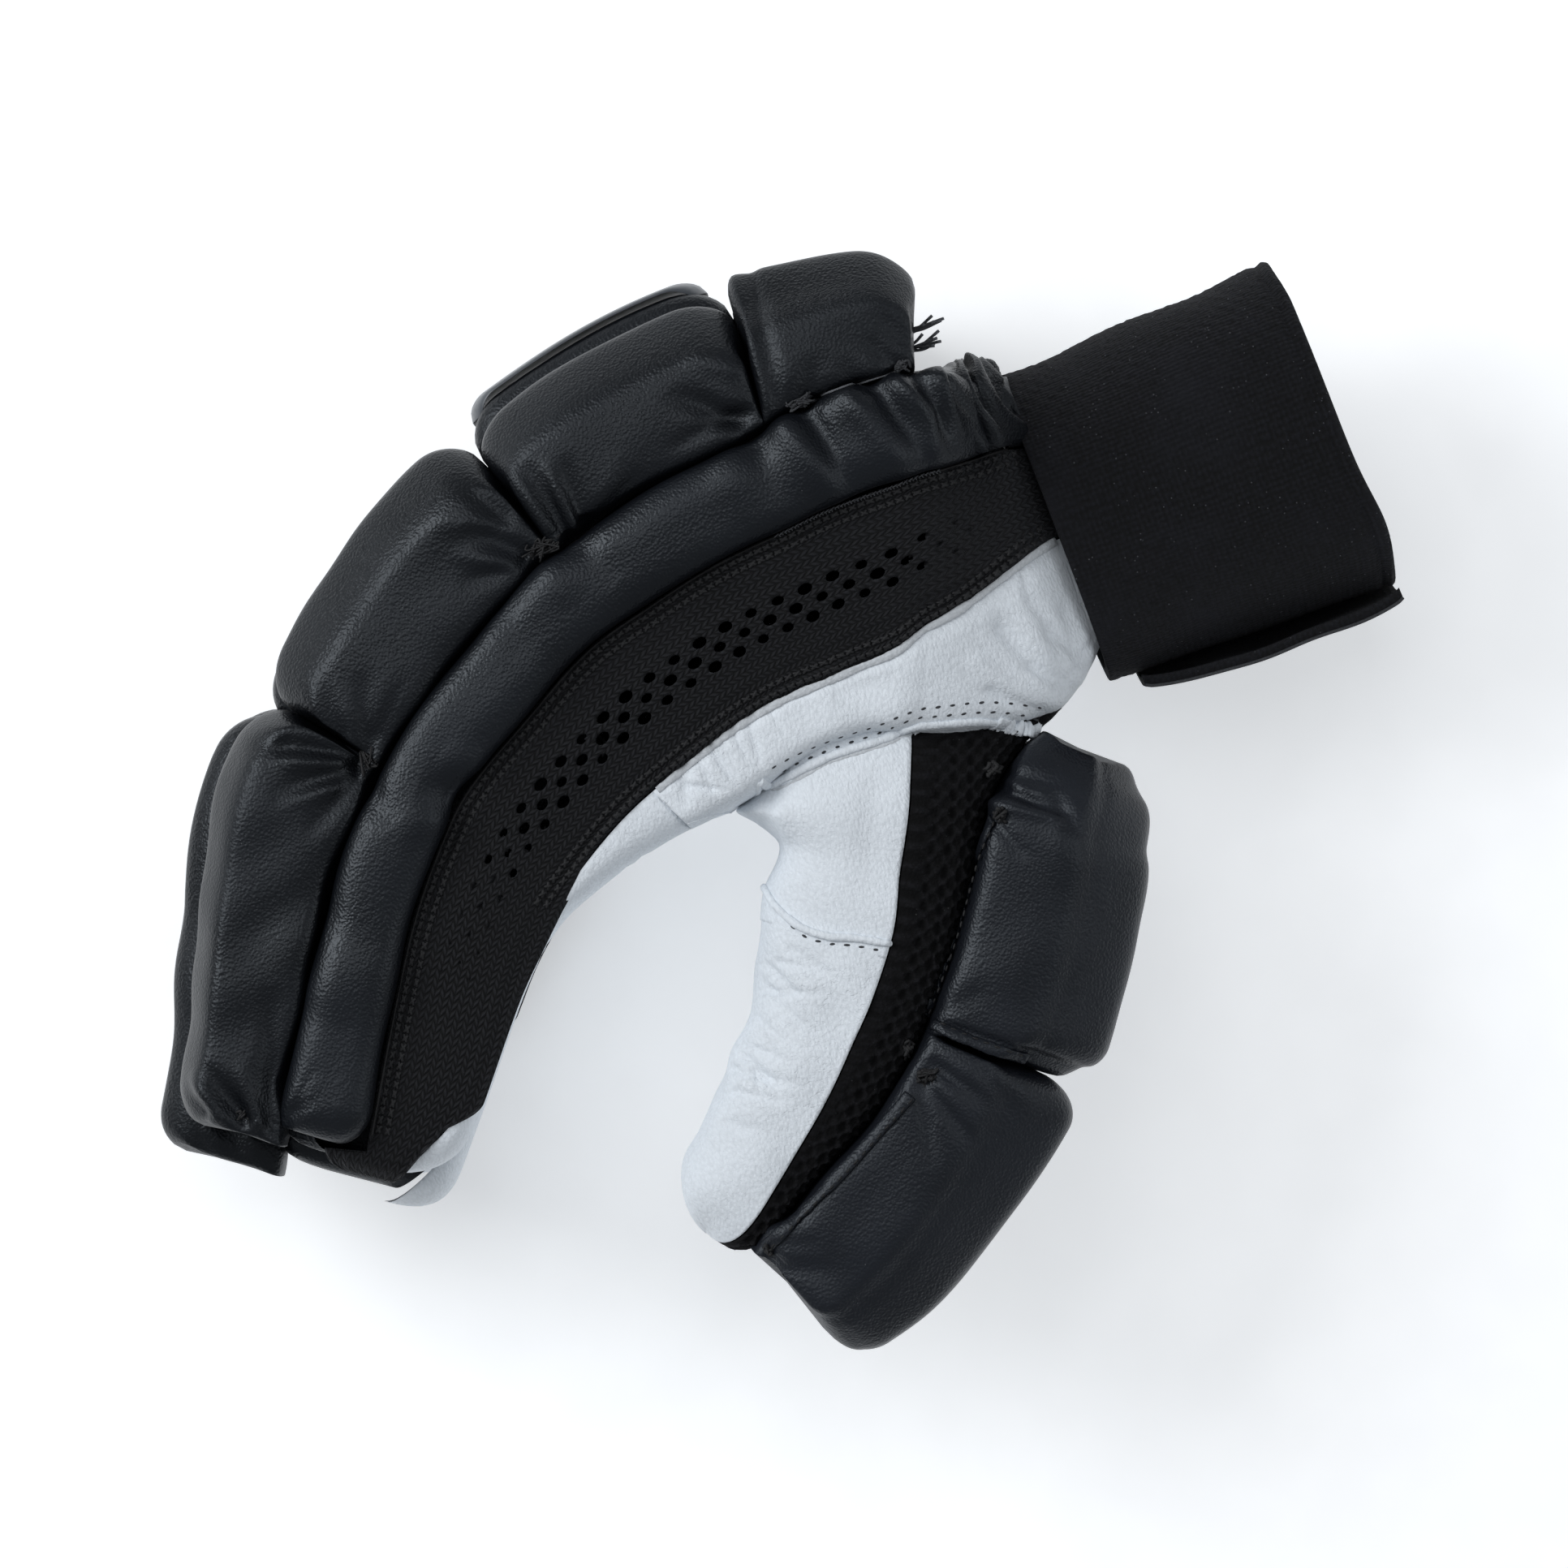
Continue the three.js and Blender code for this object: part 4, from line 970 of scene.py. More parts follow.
class GLOVE_OT_wristband(bpy.types.Operator):
    """Wristband of towelling, with a turned-in arm end, and its closing flap"""
    bl_idname = "glove.wristband"
    bl_label = "Wristband"

    def execute(self, context):
        # Band: the tube's wall bends over at its arm end as half a circle, so run and offset are
        # worked out together along one closed profile.
        rows, columns = 76, 190
        angle = (math.pi + np.arange(columns) * 2 * math.pi / columns)[None]
        half = CUFF_WALL / 2
        out = np.linspace(0, -CUFF_LENGTH + half, rows)
        turn = np.linspace(0, math.pi, 9)[1:-1]
        run = np.r_[out, -CUFF_LENGTH + half - half * np.sin(turn)]
        run = np.maximum(np.r_[run, -CUFF_LENGTH + half], -CUFF_LENGTH)[:, None]
        offset = np.r_[np.zeros(rows), half * np.cos(turn) - half, -CUFF_WALL][:, None]
        swell = 0.5 * ripple(run, angle * 36, 4, size=34)
        pile = 0.12 * ripple(run, angle * 36, 5, waves=14, size=2.2)
        hem = -0.7 * bell(run + CUFF_LENGTH - 3.2, 0.9)
        # The arm end reaches further on the palm side, and less far at the back.
        low = bell(np.sin(angle) + 0.62, 0.30) - 0.5 * smooth((np.sin(angle) - 0.7) / 0.3)
        reach = 1.9 * low * smooth(-run / CUFF_LENGTH) ** 2
        outer = cuff(run - reach, angle, offset + swell + pile + hem)
        inner = cuff(np.maximum(run, -CUFF_LENGTH + half) - reach, angle,
                     np.full_like(swell, -CUFF_WALL))
        uv = np.stack(np.broadcast_arrays(run * MM, angle * 34 * MM), -1)
        build("wristband_towelling", [wall(outer, inner, uv, ring=True)],
              [material("towelling")], ["wristband"])
        # Flap: it leaves the band's palm side along its near edge and lies on it further round.
        start, thick = 7, 2.2
        run = np.linspace(-start, -CUFF_LENGTH, 50)[:, None]
        share = np.linspace(0, 1, 40)[None]
        bow = 0.35 + 0.65 * np.sin(math.pi * (run + start) / (start - CUFF_LENGTH)) ** 0.6
        lift = SEAM_GAP + 5.5 * bow * (1 - share) ** 2 + 0.5 * ripple(run, share * 40, 8, size=26)
        angle = -1.28 * (1 + share) + 0.01 * np.sin(run / 9) * (1 - share) ** 2
        rim = 0.5 * bell(share, 0.04)
        outer, inner = cuff(run, angle, lift + thick + rim), cuff(run, angle, lift)
        uv = np.stack(np.broadcast_arrays(run * MM, share * 46 * MM), -1)
        build("closure_flap_piping", [tube(outer[:, 0], 0.4, 8)], [material("tie")])
        flap = build("closure_flap", [wall(outer, inner, uv)], [material("towelling")],
                     ["closure_tab"])
        return {"FINISHED"}


class GLOVE_OT_wrist_skirt(bpy.types.Operator):
    """Gathered leather skirt between the first rolls and the wristband"""
    bl_idname = "glove.wrist_skirt"
    bl_label = "Wrist skirt"

    def execute(self, context):
        # An arch over the hand, from side seam to side seam, with gathers that run from its
        # hem at the wristband towards the rolls and die out: sines of the run whose phase
        # drifts with the rise, in two wavelengths.
        last = ROLL_ROWS[0][1] * SLEEVE_RUN + 1.0
        run = stations(-2.0, last, 0.6)[:, None]
        side, depth = superellipse(180, (4.5, 9), 1.3)
        top = np.interp(run, [-2, 0, 3, 10, 19, 28, 35], [36.5, 37.5, 41, 43.6, 43.8, 42.5, 41])
        top = np.maximum(top, seam("top", run) + SEAM_GAP + 0.4)
        low = seam("bar", run) + 0.6
        swell = 2.2 * smooth((run + 2) / 8) * (1 - 0.7 * smooth((run - 16) / 12))
        half = HAND_HALF + (2.7 + swell) / girth(run)

        def shell(inset):
            rise = low + (top - inset - low) * depth
            return rise, hand(run, rise, (half - inset / girth(run)) * side)
        rise, outer = shell(0)
        _, inner = shell(1.3)  # the leather's thickness
        way = run - 0.55 * (rise - 34) * smooth(side / 0.5) + 2.0 * side
        gather = (1.9 * np.sin(2 * math.pi * way / 6.8 + 1.1 * np.sin(side * 9 + run / 7))
                  + 0.25 * np.sin(2 * math.pi * way / 3.7 + 2 * side))
        fade = smooth((run + 2) / 3) * (1 - smooth((run - 12) / 10))
        loose = 0.7 * ripple(run, rise + 30 * side, 15, size=17) * smooth((30 - run) / 8)
        outer = raised(outer, gather * fade + loose, ring=False)
        inner = raised(inner, gather * fade + loose, ring=False)
        piece = build("wrist_skirt_leather", [wall(outer, inner, mask=0.3 + 0 * gather)],
                      [material("roll")], ["wrist_skirt"])
        return {"FINISHED"}


PALM_FOLDS = [
    # run, rise to run, rise, width, depth: creases at the web, at the heel and in between
    (112, -26, 122, -36, 1.5, 1.3), (104, -27, 106, -42, 1.3, 1.2),
    (97, -28, 98, -40, 1.0, 0.9), (90, -28, 99, -44, 1.2, 1.0),
    (101, -29, 103, -38, 0.8, 0.7), (108, -28, 114, -41, 1.0, 0.8),
    (16, -20, 4, -44, 1.6, 1.7), (10, -14, 2, -36, 1.2, 1.2), (19, -34, 8, -45, 1.1, 1.1),
    (4, -18, 3, -40, 1.0, 1.1), (8, -22, 6, -42, 0.9, 0.9), (1, -28, 9, -38, 0.8, 0.8),
    (12, -30, 1, -42, 1.1, 0.9), (7, -24, 1, -34, 0.9, 0.8), (21, -27, 12, -40, 1.5, -0.8),
    (117, -32, 108, -40, 0.9, 0.9), (85, -26, 84, -38, 1.2, 0.6),
    (60, -31, 30, -33, 3.0, 0.7), (40, -28, 25, -22, 2.5, 0.5),
]


def in_thumb(points):
    """Which points are well inside the base of the thumb's sleeve. The nearest place on the
    thumb's centreline gives the section there, a superellipse of power 4."""
    flat = (points / MM - SHIFT).reshape(-1, 3)
    run = np.linspace(THUMB_BASE - 8, 60, 160)
    x, y, heading = THUMB_LINE(run)
    off = flat[:, None, :2] - np.stack([x, y], -1)[None]
    along = off[..., 0] * np.cos(heading) + off[..., 1] * np.sin(heading)
    best = np.abs(along).argmin(1)
    rows = np.arange(len(flat))
    (dx, dy), turn = off[rows, best].T, heading[best]
    out = -(dx * np.sin(turn) - dy * np.cos(turn))
    at, inset = run[best], 2.5
    across = (flat[:, 2] - THUMB_CENTRE + dip(at)) / (thumb_size("width", at) - inset)
    lo, hi = thumb_size("front", at) + inset, thumb_size("seat", at) - inset
    level = (out - (lo + hi) / 2) / ((hi - lo) / 2)
    inside = (np.abs(across) ** 4 + np.abs(level) ** 4 < 1) & (np.abs(along[rows, best]) < 1)
    return (inside & (at > THUMB_BASE - 6)).reshape(points.shape[:2])


class GLOVE_OT_palm(bpy.types.Operator):
    """White leather palm with creases, and the cloth back of the hand"""
    bl_idname = "glove.palm"
    bl_label = "Palm and back of hand"

    def execute(self, context):
        run = stations(-9, CROTCH, 0.8)[:, None]
        side, depth = superellipse(112, (8, 4), 1.5)
        lip, low = seam("palm", run) - SEAM_GAP, seam("belly", run)
        rise = lip - (lip - low) * depth
        outer = hand(run, rise, HAND_HALF * side)
        folds = grooves(run, rise, PALM_FOLDS)
        near = smooth(side / 0.9)
        swell = 0.3 * ripple(run, rise + 40 * side, 11, size=26) * smooth(depth * 3)
        outer = raised(outer, folds * near + swell, ring=False)
        inner = hand(run, lip - (lip - low - WALL) * depth,
                     (HAND_HALF - WALL / girth(run)) * side)
        creased = np.clip(bell(run - 7, 13) * 0.9 + bell(run - 108, 13), 0, 1) * near + 0.12
        # The thumb's hole: faces well inside the thumb's sleeve are left out.
        keep = outside(in_thumb(outer))
        build("palm_leather_white", [wall(outer, inner, mask=creased, keep=keep)],
              [material("white")], ["palm_leather"])
        run = stations(-9, CROTCH - SEAM_GAP, 3)[:, None]
        across = np.linspace(1, -1, 40)[None] * (HAND_HALF - (WALL + 0.8) / girth(run))
        rise = seam("top", run)
        build("hand_back_cloth", [wall(hand(run, rise, across), hand(run, rise - WALL, across))],
              [material("lining")], ["hand_back"])
        return {"FINISHED"}


def gusset(k, side, sizes, holes):
    """A side wall of knit from the wristband to the fingertip. Near an eyelet each point is
    drawn onto the eyelet's ellipse, and the faces within it are left out."""
    pitch, rows, columns = (0.62, 24, 72) if holes else (1.8, 10, 28)
    run = to_tip(-9, SLEEVE_RUN, TIP_ROUND, pitch, rows)[:, None]
    close = tip_close(run, SLEEVE_RUN, TIP_ROUND, 5)
    share = np.linspace(0, 1, columns)[None]
    top, low = seam("bar", run), seam("palm", run)
    middle = (top + low) / 2
    over = smooth((run / SLEEVE_RUN - 0.60) / 0.16) * smooth((0.95 - run / SLEEVE_RUN) / 0.04)
    low = lerp(low, seam("belly", run) - 0.8, over)
    # Past the bar's end the knit turns up round it.
    past = smooth((run - SLEEVE_RUN + 4.1) / 0.9)
    rise = lerp(top + 10.5 * past, low, share)
    keep = None
    dent = np.zeros(rise.shape)
    u = run + 2.2 * smooth((run - SLEEVE_RUN + 6) / 6) + 0 * rise
    if holes:
        pitch, rows = sizes.eyelet_pitch / MM, sizes.eyelet_rows / MM
        a, b = sizes.eyelet_length / MM / 2, sizes.eyelet_width / MM / 2
        first, last = np.array(EYELETS) * SLEEVE_RUN
        du, dv = lattice(u - first, rise - middle, pitch, rows)
        lane = np.abs(np.round((rise - middle - dv) / rows))
        fade = smooth((u - first) / 22) * smooth((last - u) / 60)
        order = np.round((u - first - du) * 2 / pitch)
        open_ = (0.35 + 0.65 * fade) * (0.90 + 0.11 * np.sin(2.3 * order + lane))
        rho = np.hypot(du / (a * open_), dv / (b * open_))
        used = (lane <= 1) & (u > first) & (u < last)
        through = used & (rho < 1) & (open_ > 0.55)
        pull = np.where(through & (rho > 0.4), 1 / np.maximum(rho, 0.4) - 1, 0.0)
        u = u + du * pull
        rise = rise + dv * pull
        keep = outside(through)
        dent = (0.35 * bell(rho - 1.55, 0.35) - 0.9 * smooth((1.15 - rho) / 0.5)) * used
        dent += 0.35 * bell(np.abs(rise - middle) - 3.1 * rows, 1.0)
    border = np.minimum(share, 1 - share)
    dent = dent + 0.55 * bell(border - 0.045, 0.022) - 0.5 * bell(border, 0.018)
    belly = 1.4 * np.sin(np.pi * share) * smooth((run - 5) / 25) * close
    wave = 0.35 * ripple(run, rise, 21 + k, size=30)
    ribs = 0.35 * np.sin(2 * math.pi * run / 2.4) * smooth((run - SLEEVE_RUN + 9) / 5)
    half = HAND_HALF + (dent + belly + wave + ribs) / girth(run)
    outer = finger(k, u, close, rise, side * half)
    inner = finger(k, u, close, rise, side * (half - WALL / girth(run)))
    uv = np.stack([u * MM, (rise - middle) * MM], -1)
    return wall(outer, inner, uv, keep=keep)


class GLOVE_OT_gussets(bpy.types.Operator):
    """Knitted side walls, the index one with three staggered rows of eyelets"""
    bl_idname = "glove.gussets"
    bl_label = "Knit gussets"

    def execute(self, context):
        for k, side, name in ((3, 1, "index_gusset"), (0, -1, "little_gusset")):
            part = gusset(k, side, context.scene.glove_sizes, holes=k == 3)
            build(f"{name}_knit", [part], [material("knit")], [name])
        return {"FINISHED"}


def finger_sleeve(k):
    """Leather palm side and cloth back of one finger: half superellipses carried along it, and
    closed at the tip."""
    run = to_tip(CROTCH, SLEEVE_RUN, TIP_ROUND, 1.4 if k == 3 else 2.6, 12)[:, None]
    gone = np.clip((run - SLEEVE_RUN + TIP_ROUND) / TIP_ROUND, 0, 1)
    close = tip_close(run, SLEEVE_RUN, TIP_ROUND, 3.2 if k == 2 else 2.0)
    blunt = tip_close(run, SLEEVE_RUN, TIP_ROUND, 5)
    half, centre = FINGER_PITCH / 2 - SEAM_GAP, (k - 1.5) * FINGER_PITCH

    def palm_side(inset):
        side, depth = superellipse(46 if k == 3 else 30, 2.6)
        lip = seam("palm", run) - SEAM_GAP / close
        low = seam("belly", run) + inset
        rise = lip - (lip - low) * depth
        folds = grooves(run, side * 12 + 0 * run, [
            (140, -12, 141, 12, 1.2, 0.5), (146, -12, 147, 12, 1.2, 0.5),
            (176, -12, 178, 12, 1.4, 0.7), (182, -12, 181, 12, 1.2, 0.6)])
        return finger(k, run, close, rise - folds * depth, centre + (half - inset) * side)

    def back_side(inset):
        side, depth = superellipse(46 if k == 3 else 36, 7)
        top, low = seam("top", run) - inset, seam("palm", run)
        rise = low + (top - low) * depth
        across = (half - inset) * side + 0 * run
        outer_side = {0: -1, 3: 1}.get(k)
        if outer_side:
            edge = half - WALL - SEAM_GAP / close
            limit = np.minimum(outer_side * across, edge)
            across = outer_side * limit
            rise = np.where(outer_side * side > 0.97, np.maximum(rise, top - 1.0), rise)
        return finger(k, run + BACK_PAST[k] * gone, blunt, rise, centre + across)

    name = FINGERS[k]
    mask = (bell(run - 143, 8) + bell(run - 180, 9)) * 0.8 + 0.1
    build(f"{name}_finger_palm_leather", [wall(palm_side(0), palm_side(WALL), mask=mask)],
          [material("white")], [f"{name}_finger_leather"])
    build(f"{name}_finger_back_cloth", [wall(back_side(0), back_side(WALL))],
          [material("bar")], [f"{name}_finger_back"])


class GLOVE_OT_finger_sleeves(bpy.types.Operator):
    """Sleeves of the four fingers: white leather and black cloth"""
    bl_idname = "glove.finger_sleeves"
    bl_label = "Finger sleeves"

    def execute(self, context):
        for k in range(4):
            finger_sleeve(k)
        return {"FINISHED"}


BAR_FOLDS = [
    # run, rise to run, rise, width, depth: gathers under the first roll, and dents further on
    (59, 36, 48, 6, 2.6, -1.6), (54, 37, 46, 12, 2.0, 2.6), (47, 38, 34, 12, 2.8, -2.2),
    (42, 39, 30, 16, 1.8, 2.3), (38, 40, 29, 26, 1.8, -1.8), (35, 40, 23, 20, 1.7, 2.0),
    (30, 40, 19, 24, 2.0, -1.6), (63, 35, 61, 12, 2.8, 1.4), (26, 39, 14, 28, 1.5, 1.6),
    (68, 32, 70, 12, 3.4, -0.8), (154, 1, 159, 16, 4.5, 1.8), (161, 3, 167, 17, 4.0, -0.9),
    (147, 3, 150, 16, 3.5, -0.9), (101, 30, 98, 14, 3.4, 0.9), (163, 29, 168, 16, 3.0, 1.2),
    (108, 29, 109, 16, 3.0, -0.6), (237, 19, 228, 12, 2.0, 0.8), (234, 18, 222, 15, 1.6, 0.5),
    (119, 26, 124, 10, 4.0, 0.7), (190, 24, 196, 8, 5.0, 0.7), (212, 23, 214, 8, 4.5, 0.6),
]


def side_bar(k, side):
    """Padded bar: a flattened half round between the top seam and the knit's seam. Its
    outside swells as a sine of the height, and is flat where the glove lies on it."""
    end = SLEEVE_RUN - TIP_ROUND / 3
    lying = side < 0
    pitch, fine, count = (2.2, 1.2, 30) if lying else (0.9, 0.45, 52)
    run = stations(BAR_START, end, pitch, 9, fine)[:, None]
    low, high = seam("bar", run) + SEAM_GAP, seam("top", run) + 0.2
    share = np.r_[np.linspace(0, 1, count), np.linspace(1, 0, 14)[1:-1]][None]
    back = np.r_[np.zeros(count), np.ones(12)][None] > 0.5
    ends = 1 - round_over(np.minimum((run - BAR_START + 0.3) / 13, (end - run + 0.3) / 9), 1)
    flat = np.abs(2 * share - 1)
    puff = (1 - flat ** 7) ** (1 / 7) if lying else (1 - flat ** 3) ** (1 / 2.3)
    swell = BAR * (0.30 + 0.70 * puff) * (1 if lying else 0.35 + 0.65 * ends)
    low = lerp(low, low + 0.30 * (high - low), round_over(end - run + 0.3, 10))
    middle = (low + high) / 2
    pinch = 0.90 + 0.10 * ends
    rise = middle + (lerp(low, high, share) - middle) * pinch
    across = np.where(back, HAND_HALF - WALL / girth(run), HAND_HALF + swell)
    points = hand(stretched(k, run), rise, side * across)
    relief = grooves(run, rise, BAR_FOLDS) * (1 - smooth((flat - 0.80) / 0.2) * 0.5)
    relief = relief + 0.28 * ripple(run, rise, 31 + k, size=19)
    relief = np.where(back, 0, relief) * (0 if lying else 1) * smooth((run - BAR_START) / 5)
    mask = np.clip(np.abs(grooves(run, rise, BAR_FOLDS)) * 0.08, 0, 1)
    return grid(raised(points, relief), mask=np.where(back, 0, mask))


class GLOVE_OT_side_bars(bpy.types.Operator):
    """Long padded bars along the index and the little finger"""
    bl_idname = "glove.side_bars"
    bl_label = "Side bars"

    def execute(self, context):
        for k, side, name in ((3, 1, "index"), (0, -1, "little")):
            build(f"{name}_bar_leather", [side_bar(k, side)], [material("bar")],
                  [f"{name}_side_bar"])
        return {"FINISHED"}


ROLL_FOLDS = {
    # run, rise to run, rise, width, depth, on the near face of the index finger's rolls
    "cuff_roll": [(37, 41, 42, 48, 1.8, 1.0), (52, 37, 49, 46, 2.0, 0.9),
                  (36, 47, 40, 55, 1.8, 0.7), (44, 38, 45, 44, 1.5, 0.5)],
    "hand_roll": [(64, 34, 73, 47, 2.2, 2.2), (63, 36, 78, 34, 1.9, 1.3),
                  (62, 46, 69, 53, 2.4, -1.0), (101, 28, 99, 50, 1.8, 2.0),
                  (97, 29, 93, 46, 1.7, 1.7), (99, 31, 96, 48, 1.3, -1.2),
                  (96, 29, 82, 33, 1.8, 1.4), (103, 34, 102, 54, 1.5, -1.0),
                  (92, 29, 84, 40, 2.4, -0.7)],
    "knuckle_roll": [(109, 31, 115, 47, 2.1, 2.0), (110, 30, 123, 38, 2.0, 1.5),
                     (108, 42, 111, 58, 2.0, 1.2), (157, 30, 146, 42, 2.2, 1.4),
                     (158, 38, 150, 51, 2.0, 1.2), (113, 32, 120, 45, 1.7, -1.1),
                     (154, 30, 140, 33, 2.2, 0.8), (112, 44, 119, 53, 2.0, -0.7)],
    "tip_roll": [(160, 30, 165, 50, 2.2, 2.8), (161, 29, 174, 46, 2.3, 2.1),
                 (163, 28, 178, 34, 2.2, 1.7), (162, 34, 168, 49, 1.5, -1.5),
                 (239, 28, 229, 40, 2.0, 2.2), (240, 34, 231, 43, 1.7, -1.4),
                 (238, 21, 208, 30, 2.8, 2.1), (239, 25, 226, 33, 1.6, -1.2),
                 (240, 38, 234, 48, 1.9, 1.5), (167, 33, 174, 42, 1.5, -1.0),
                 (165, 48, 168, 58, 2.2, 1.0), (190, 30, 200, 44, 5.0, 0.8)],
}


def roll_corners(k, shoulder):
    """Corners of a finger roll's section, as shares of its half width and height."""
    if k == 0:
        return [(-1, 0), (1, 0), (1, 0.98), (-0.1 + shoulder * 0.1, 1), (-1, shoulder)]
    if k == 3:
        return [(-1, 0), (1, 0), (1, shoulder), (0.1 - shoulder * 0.1, 1), (-1, 0.98)]
    return [(-1, 0), (1, 0), (1, shoulder), (0.62, 1), (-0.62, 1), (-1, shoulder)]


def padded_roll(points, relief, mask):
    """Mesh of a roll: its grid raised by the relief, with rings that shrink to the middle of
    each end."""
    points = raised(points, relief)
    share = np.array([0.93, 0.8, 0.6, 0.4, 0.2])[:, None, None]

    def cap(ring):
        middle = ring.mean(0)
        return middle + (ring - middle) * share
    whole = np.concatenate([cap(points[0])[::-1], points, cap(points[-1])])
    mask = np.broadcast_to(mask, points.shape[:2])
    return grid(whole, mask=np.pad(mask, ((len(share), len(share)), (0, 0))))


def finger_roll(k, row):
    """A padded roll: a rounded section carried along the finger, that shrinks towards both
    ends as a quarter circle, with gathers and soft dents."""
    name, first, last, shoulder = row
    start, end = first * SLEEVE_RUN + 0.03, last * SLEEVE_RUN - 0.03
    # The index finger's rolls are seen from near, so their grids are finer.
    pitch, fine, columns = (0.9, 0.42, 108) if k == 3 else (1.6, 0.8, 64)
    run = stations(start, end, pitch, END_ROUND, fine)[:, None]
    # The first roll's far end is squarer.
    square = 0.45 if name == "cuff_roll" else 1.0
    fall = np.where(end - run < run - start, END_FALL * square, END_FALL)
    keep = 1 - fall * round_over(np.minimum(run - start, (end - run) / square), END_ROUND)
    half = (ROLL_PITCH - 0.6) / 2
    outline = rounded(roll_corners(k, shoulder), 0.13, (half, ROLL_HEIGHT), columns)
    across = (k - 1.5) * ROLL_PITCH + outline[:, 0] * half * (0.8 + 0.2 * keep)
    tall = crown(k, run) + ROLL_HEIGHT * ROW_LIFT.get(name, (0, 0, 0, 0))[k]
    height = tall * keep * outline[:, 1]
    wrap = 3.2 * smooth((run - SLEEVE_RUN + 15) / 11) * (1 - outline[:, 1]) ** 2
    rise = seam("top", run) + 0.25 + height - wrap
    points = hand(stretched(k, run), rise, across)
    side = {0: -1, 3: 1}.get(k, 1)
    face = smooth((side * outline[:, 0] - 0.25) / 0.6)[None]
    table = ROLL_FOLDS[name]
    creases = grooves(run, rise, table)
    folds = creases * (face if k in (0, 3) else 0.35)
    from_end = np.minimum(run - start, end - run)
    # The first roll's far end has a raised, piped seam.
    pipe = bell(end - run - 1.2, 0.8) - 0.9 * bell(end - run - 3.6, 1.1)
    pipe = pipe * (0.8 if name == "cuff_roll" else 0.0)
    base = bell(height, 3.0)
    soft = 0.45 * ripple(run, rise + 9 * outline[:, 0], 50 + 4 * k + len(name), size=24)
    relief = (folds + pipe * (1 - base) + soft * smooth(from_end / 6) * 0.8
              - ROUNDED_OFF * round_over(from_end, 7.0) * face * (1 - base))
    ridge = bell(outline[:, 1] - (0.5 + shoulder) / 1.6, 0.10)[None] * face
    mask = np.clip(ridge * (0.9 if name == "cuff_roll" else 0.1)
                   + 0.10 * np.abs(creases) * face, 0, 1)
    return padded_roll(points, relief, mask)


class GLOVE_OT_finger_rolls(bpy.types.Operator):
    """Padded rolls on the back of the four fingers"""
    bl_idname = "glove.finger_rolls"
    bl_label = "Finger rolls"

    def execute(self, context):
        for k, name in enumerate(FINGERS):
            for row in ROLL_ROWS:
                build(f"{name}_{row[0]}_leather", [finger_roll(k, row)], [material("roll")],
                      [f"{name}_{row[0]}"])
        return {"FINISHED"}


class GLOVE_OT_back_plate(bpy.types.Operator):
    """Bare glossy plate on the back of the hand"""
    bl_idname = "glove.back_plate"
    bl_label = "Back plate"

    def execute(self, context):
        # Bowed across as 1 - 0.6 x^2 in its thickness, with rounded edges, and bent down over
        # the roll's rounded ends with it.
        _, first, last, _ = ROLL_ROWS[1]
        start, end = first * SLEEVE_RUN, last * SLEEVE_RUN
        run = np.linspace(start + 2.5, end - 2.5, 56)[:, None]
        keep = 1 - 0.34 * round_over(np.minimum(run - start, end - run), ROLL_ROUND)
        edge = 0.75 * ROLL_PITCH
        across = np.linspace(edge, -edge, 44)[None]
        x = np.abs(across / edge)
        middle = (start + end) / 2
        y = np.abs((run - middle) / ((end - start) / 2 - 2.5))
        rim = round_over(1 - np.maximum(x, y), 0.08)
        thick = 1.9 * (1 - 0.6 * x ** 2) * (1 - 0.75 * rim)
        rise = seam("top", run) + 1.2 + crown(2, run) * keep
        at = middle + (run - middle) * np.sqrt(1 - 0.20 * x ** 6)
        across = across * np.sqrt(1 - 0.16 * y ** 6)
        plate = wall(hand(at, rise + thick, across), hand(at, rise, across))
        build("back_plate_gloss", [plate], [material("plate")], ["back_plate"])
        return {"FINISHED"}


def thumb_leather(first, last, relief, pitch):
    """The thumb's leather side: half a superellipse carried along the thumb, and closed at the
    tip. relief gives its folds and its mask at (run, level, side)."""
    if last == THUMB_RUN:
        run = to_tip(first, last, THUMB_TIP_ROUND, pitch, 14)[:, None]
    else:
        run = stations(first, last, pitch)[:, None]
    close = tip_close(run, THUMB_RUN, THUMB_TIP_ROUND, THUMB_TIP_POWER)
    side, depth = superellipse(110, 3.2, 1.4)

    def shell(inset):
        lip = thumb_size("split", run) - SEAM_GAP / close
        low = thumb_size("front", run) + inset
        return thumb(run, close, lip - (lip - low) * depth,
                     (thumb_size("width", run) - inset) * side)
    split = thumb_size("split", run)
    level = split - (split - thumb_size("front", run)) * depth
    folds, mask = relief(run, level, side[None] + 0 * run)
    return wall(raised(shell(0), folds, ring=False), shell(WALL), mask=mask)


THUMB_LEATHER_FOLDS = {
    # run, rise to run, rise, width, depth
    "base": [(14, -26, 40, -29, 2.0, 0.8), (24, -4, 52, 0, 3.5, 0.6),
             (30, -24, 46, -20, 2.0, -0.6)],
    "tip": [(72, -18, 78, -4, 1.1, 0.9), (78, -17, 73, -2, 1.0, 0.8), (75, -19, 82, -9, 0.8, 0.6),
            (70, -16, 68, -3, 1.0, 0.6), (95, -15, 100, -1, 1.3, 1.2), (99, -16, 95, 2, 1.2, 1.0),
            (104, -14, 100, 0, 1.1, 0.8), (84, -18, 88, -6, 1.1, 0.7), (66, -14, 70, 2, 1.1, 0.6),
            (92, -16, 91, -3, 0.8, 0.7), (97, -12, 103, -6, 0.7, 0.6), (80, -10, 84, 0, 0.8, 0.5),
            (88, -12, 93, -7, 0.7, 0.5), (112, -12, 108, 0, 1.6, 0.6)],
}


